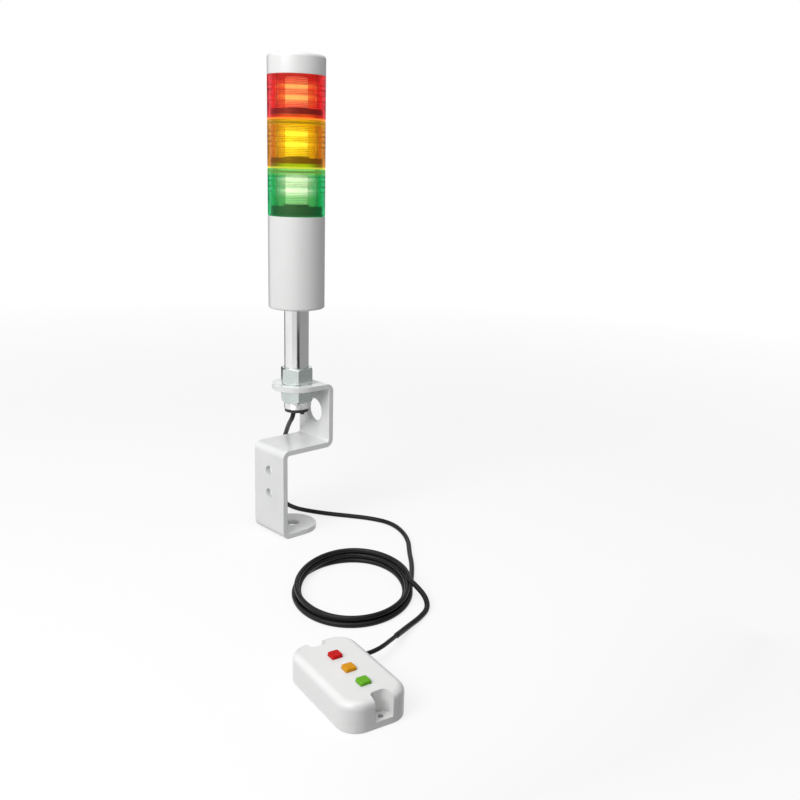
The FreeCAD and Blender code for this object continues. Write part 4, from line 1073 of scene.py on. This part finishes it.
@dataclass
class Cable(Assembly):
    """The cable from the pole to the control box, with its coil.

    The route is its lead to the coil, the coil's turns and its tail to the box. Each of
    the turns' rows holds turns made, distance inside the coil's outer edge and height of
    the strand's centre, the last two in millimetres.
    """

    diameter: float = 0.0043
    slim: float = 0.0032
    slim_from: int = 7
    sides: int = 16
    points_per_turn: int = 24
    smoothness: int = 8
    middle: Pair = (-0.0453, -0.1430)
    breadth: float = 0.0485
    length: float = 0.0610
    heading: float = math.radians(46.6)
    start_angle: float = math.radians(8.0)
    exit: Point = (0.0036, 0.0022, 0.1138)
    lead: tuple[Point, ...] = (
        (0.0039, -0.0010, 0.1335), (0.0032, 0.0006, 0.1100), (0.0122, 0.0212, 0.0950),
        (0.0205, 0.0370, 0.0820), (0.0245, 0.0480, 0.0675), (0.0250, 0.0540, 0.0520),
        (0.0240, 0.0562, 0.0365), (0.0227, 0.0543, 0.0175), (0.0233, 0.0460, 0.0056),
        (0.0270, 0.0320, 0.0026), (0.0330, 0.0160, 0.0028), (0.0432, -0.0010, 0.0026),
        (0.0563, -0.0176, 0.0022), (0.0680, -0.0350, 0.0022), (0.0755, -0.0555, 0.0022),
        (0.0705, -0.0780, 0.0022), (0.0585, -0.0995, 0.0022), (0.0415, -0.1185, 0.0022),
        (0.0265, -0.1375, 0.0022), (0.0088, -0.1558, 0.0022), (-0.0057, -0.1691, 0.0022),
    )
    turns: tuple[Lay, ...] = (
        (0.00, 1.7, 2.2), (0.27, 2.4, 2.2), (0.52, 2.0, 2.2), (0.77, 3.2, 2.2),
        (1.00, 6.2, 2.3), (1.27, 6.6, 3.0), (1.52, 5.4, 4.6), (1.77, 2.2, 6.3),
        (2.00, 4.4, 6.2), (2.27, 4.5, 6.6), (2.52, 3.8, 8.4), (2.77, 1.0, 10.4),
        (3.00, 1.6, 9.3),
    )
    tail: tuple[Point, ...] = (
        (-0.0062, -0.1687, 0.0088), (-0.0094, -0.1805, 0.0082), (-0.0115, -0.1930, 0.0046),
        (-0.0205, -0.2050, 0.0024), (-0.0350, -0.2115, 0.0022), (-0.0510, -0.2163, 0.0028),
        (-0.06662, -0.22274, 0.0050), (-0.0739, -0.2261, 0.0064), (-0.0843, -0.2309, 0.0084),
        (-0.0966, -0.2361, 0.0102), (-0.10767, -0.2380, 0.0110), (-0.11506, -0.23668, 0.0110),
    )

    def coil_points(self) -> list[Point]:
        """Control points of the coil's turns.

        Returns:
            Points from the entry to just before the exit.
        """
        across = Vector((math.sin(self.heading), -math.cos(self.heading)))
        along = Vector((math.cos(self.heading), math.sin(self.heading)))
        swell = 1 / math.cos(math.pi / self.points_per_turn)
        points = []
        for number in range(1, round(self.turns[-1][0] * self.points_per_turn)):
            done = number / self.points_per_turn
            inset, height = self.lay_of(done)
            angle = self.start_angle - math.tau * done
            place = (
                Vector(self.middle)
                + across * (self.breadth - inset) * swell * math.cos(angle)
                + along * (self.length - inset) * swell * math.sin(angle)
            )
            points.append((place.x, place.y, height))
        return points

    def lay_of(self, done: float) -> Pair:
        """Where a strand lies in the bundle.

        Args:
            done: Turns made so far.

        Returns:
            Distance inside the outer edge and height of its centre, in metres.
        """
        _, inset, height = self.turns[-1]
        for (start, inset_0, height_0), (end, inset_1, height_1) in zip(
                self.turns, self.turns[1:]):
            if done <= end:
                share = (done - start) / (end - start)
                share = share * share * (3 - 2 * share)
                inset = inset_0 + (inset_1 - inset_0) * share
                height = height_0 + (height_1 - height_0) * share
                break
        return inset / MM_PER_M, height / MM_PER_M

    def centreline(self) -> list[Vector]:
        """Points of the smooth line through the whole route.

        Returns:
            Points read from the route's spline.
        """
        route = list(self.lead) + self.coil_points() + list(self.tail)
        curve = bpy.data.curves.new("route", "CURVE")
        curve.dimensions = "3D"
        spline = curve.splines.new("NURBS")
        spline.points.add(len(route) - 1)
        for knot, place in zip(spline.points, route):
            knot.co = (*place, 1.0)
        spline.order_u = 3
        spline.use_endpoint_u = True
        spline.resolution_u = self.smoothness
        holder = bpy.data.objects.new("route", curve)
        line = bpy.data.meshes.new_from_object(holder)
        points = [vertex.co.copy() for vertex in line.vertices]
        bpy.data.objects.remove(holder)
        bpy.data.meshes.remove(line)
        return points

    def rings(self, mesh: bmesh.types.BMesh, line: list[Vector]) -> list[list[bmesh.types.BMVert]]:
        """Sets a ring of corners about each point of the line.

        Args:
            mesh: The mesh that takes them.
            line: Points of the centreline.

        Returns:
            The corners, ring by ring.
        """
        slim_place = Vector(self.tail[self.slim_from])
        slim_ring = min(range(len(line)), key=lambda number: (line[number] - slim_place).length)
        across = Vector((1.0, 0.0, 0.0))
        rings = []
        for number, place in enumerate(line):
            before, after = line[max(number - 1, 0)], line[min(number + 1, len(line) - 1)]
            ahead = (after - before).normalized()
            across = (across - ahead * across.dot(ahead)).normalized()
            side = ahead.cross(across)
            radius = (self.diameter if number <= slim_ring else self.slim) / 2
            rings.append([
                mesh.verts.new(place + (across * math.cos(turn) + side * math.sin(turn)) * radius)
                for turn in (math.tau * corner / self.sides for corner in range(self.sides))
            ])
        return rings

    def tube(self, line: list[Vector], run: list[float]) -> bpy.types.Mesh:
        """Skins the rings as one closed tube.

        Args:
            line: Points of the centreline.
            run: Length of the line up to each of them.

        Returns:
            The mesh, with its length along V.
        """
        mesh = bmesh.new()
        layer = mesh.loops.layers.uv.new("UVMap")
        rings = self.rings(mesh, line)
        for row, (ring, following) in enumerate(zip(rings, rings[1:])):
            for side in range(self.sides):
                near = (side + 1) % self.sides
                face = mesh.faces.new((ring[side], ring[near], following[near], following[side]))
                face.smooth = True
                corners = ((side, row), (side + 1, row), (side + 1, row + 1), (side, row + 1))
                for loop, (turned, reached) in zip(face.loops, corners):
                    loop[layer].uv = (turned / self.sides, run[reached])
        mesh.faces.new(list(reversed(rings[0])))
        mesh.faces.new(rings[-1])
        data = bpy.data.meshes.new("cable")
        mesh.to_mesh(data)
        mesh.free()
        return data

    def build(self) -> None:
        """Makes the cable as one tube."""
        line = self.centreline()
        run = [0.0]
        for place, following in zip(line, line[1:]):
            run.append(run[-1] + (following - place).length)
        piece = hang("cable", self.tube(line, run))
        self.wardrobe.dress(piece, "cable_jacket")
        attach(piece, "tower")
        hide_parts("cable_lead", "cable_coil", "cable_tail", "cable_pigtail")
        LOG.info("cable: %.3f m, %d rings", run[-1], len(line))


# ---- studio ----


@dataclass(frozen=True)
class Lamp:
    """A soft, square lamp: where it hangs, what it points at, its side and its power."""

    name: str
    place: Point
    aim: Point
    side: float
    watts: float

    def build(self) -> None:
        """Hangs the lamp."""
        data = bpy.data.lights.new(self.name, "AREA")
        data.shape = "SQUARE"
        data.size = self.side
        data.energy = self.watts
        lamp = hang(self.name, data)
        away = Vector(self.aim) - Vector(self.place)
        turn = away.to_track_quat("-Z", "Y").to_matrix().to_4x4()
        lamp.matrix_world = Matrix.Translation(self.place) @ turn


@dataclass(frozen=True)
class Card:
    """A card that only reflections show, bent about the pole.

    Its bearings are in degrees. With fill on, matt surfaces take its light as well.
    """

    name: str
    bearings: Span
    distance: float
    levels: Span
    shade: float
    fill: bool = False
    steps: int = 24

    def build(self) -> None:
        """Stands the card."""
        material, tree = blank(self.name)
        light = tree.add(
            "ShaderNodeEmission", Color=(self.shade, self.shade, self.shade), Strength=1.0)
        tree.add("ShaderNodeOutputMaterial", Surface=light.outputs[0])
        centre = Upright.of("pole").axis
        first, last = self.bearings
        corners = []
        for level in self.levels:
            for number in range(self.steps + 1):
                angle = math.radians(first + (last - first) * number / self.steps)
                corners.append((
                    centre[0] + self.distance * math.cos(angle),
                    centre[1] + self.distance * math.sin(angle), level,
                ))
        row = self.steps + 1
        faces = [(k, k + 1, k + 1 + row, k + row) for k in range(self.steps)]
        data = bpy.data.meshes.new(self.name)
        data.from_pydata(corners, [], faces)
        data.materials.append(material)
        card = hang(self.name, data)
        card.visible_diffuse = self.fill
        card.visible_camera = card.visible_transmission = card.visible_shadow = False


@dataclass
class Studio:
    """Camera, floor, surroundings, lamps and reflecting cards."""

    eye: Point = (-0.4872, -0.6606, 0.3362)
    azimuth: float = math.radians(-43.36)
    pitch: float = math.radians(14.38)
    roll: float = math.radians(1.64)
    lens: float = 41.24
    sensor: float = 36.0
    clip: Span = (0.02, 60.0)
    floor_side: float = 12.0
    floor_shadow: Colour = (0.4, 0.4, 0.4)
    floor_paper: Colour = (0.95, 0.95, 0.95)
    floor_fade: Span = (0.45, 1.5)
    floor_light: Span = (0.78, 1.0)
    fill_light: float = 0.37
    lamps: tuple[Lamp, ...] = (
        Lamp("key", (-1.12, -0.30, 0.95), (0.0, 0.0, 0.22), 0.8, 13.0),
        Lamp("top", (-0.2, -0.2, 1.6), (-0.05, -0.12, 0.1), 1.0, 5.6),
    )
    cards: tuple[Card, ...] = (
        Card("grey_card", (234.5, 262.0), 0.75, (0.0, 0.7), 0.30),
        Card("near_card", (261.0, 385.0), 0.30, (0.0, 0.5), 0.34),
        Card("pale_card", (188.0, 234.5), 0.75, (0.0, 0.7), 0.76),
        Card("left_flag", (60.0, 98.0), 0.6, (0.0, 0.7), 0.02),
        Card("right_flag", (25.0, 34.0), 0.6, (0.0, 0.7), 0.02),
        Card("low_flag", (237.0, 290.0), 0.42, (0.0, 0.12), 0.02, fill=True),
    )

    def camera(self) -> None:
        """Sets the camera."""
        ahead = Vector((
            -math.sin(self.azimuth) * math.cos(self.pitch),
            math.cos(self.azimuth) * math.cos(self.pitch),
            -math.sin(self.pitch),
        ))
        level = ahead.cross(Vector((0, 0, 1))).normalized()
        upright = level.cross(ahead)
        right = level * math.cos(self.roll) + upright * math.sin(self.roll)
        up = upright * math.cos(self.roll) - level * math.sin(self.roll)
        data = bpy.data.cameras.new("camera")
        data.lens = self.lens
        data.sensor_width = self.sensor
        data.clip_start, data.clip_end = self.clip
        camera = hang("camera", data)
        turn = Matrix((right, up, -ahead)).transposed().to_4x4()
        camera.matrix_world = Matrix.Translation(self.eye) @ turn
        bpy.context.scene.camera = camera

    def floor(self) -> None:
        """Lays the floor: white to the camera, with the object's shadow."""
        material, tree = blank("floor")
        share = tree.sight()
        place = tree.add("ShaderNodeTexCoord").outputs["Object"]
        reach = tree.add("ShaderNodeVectorMath", {"operation": "LENGTH"}, Vector=place)
        bright = tree.span(reach.outputs["Value"], self.floor_fade, self.floor_light)
        paper = tree.mix(share, self.floor_shadow, self.floor_paper)
        plain = tree.add("ShaderNodeBsdfDiffuse", Color=paper)
        light = tree.add("ShaderNodeEmission", Color=(1.0, 1.0, 1.0), Strength=1.0)
        both = tree.blend(
            tree.maths("MULTIPLY", share, bright), plain.outputs[0], light.outputs[0])
        tree.add("ShaderNodeOutputMaterial", Surface=both)
        half = self.floor_side / 2
        data = bpy.data.meshes.new("floor")
        data.from_pydata(
            [(-half, -half, 0), (half, -half, 0), (half, half, 0), (-half, half, 0)],
            [], [(0, 1, 2, 3)])
        data.materials.append(material)
        hang("floor", data)

    def world(self) -> None:
        """Sets the surroundings: white to the camera and in reflections, softer as light."""
        world = bpy.data.worlds.new("surroundings")
        bpy.context.scene.world = world
        world.use_nodes = True
        world.node_tree.nodes.clear()
        tree = Tree(world.node_tree)
        soft, white = (
            tree.add("ShaderNodeBackground", Color=(1.0, 1.0, 1.0), Strength=strength)
            for strength in (self.fill_light, 1.0)
        )
        both = tree.blend(tree.sight(), soft.outputs[0], white.outputs[0])
        tree.add("ShaderNodeOutputWorld", Surface=both)

    def build(self) -> None:
        """Sets up everything round the object."""
        self.camera()
        self.floor()
        self.world()
        for thing in (*self.lamps, *self.cards):
            thing.build()
        LOG.info("studio ready: %d lamps, %d cards", len(self.lamps), len(self.cards))


def main() -> None:
    """Builds the dressed stack light."""
    logging.basicConfig(level=logging.INFO, format="%(name)s: %(message)s")
    scene = bpy.context.scene
    scene.view_settings.view_transform = "Standard"
    bpy.ops.object.select_all(action="DESELECT")
    Studio().build()
    wardrobe = Wardrobe()
    wardrobe.dress_frame()
    assemblies: tuple[Assembly, ...] = (
        Cable(wardrobe),
        LightTier(wardrobe, TierColour.RED, covered=SKIRT),
        LightTier(wardrobe, TierColour.AMBER),
        LightTier(wardrobe, TierColour.GREEN),
        Cap(wardrobe),
        PoleFoot(wardrobe),
    )
    for assembly in assemblies:
        assembly.build()


if __name__ == "__main__":
    main()
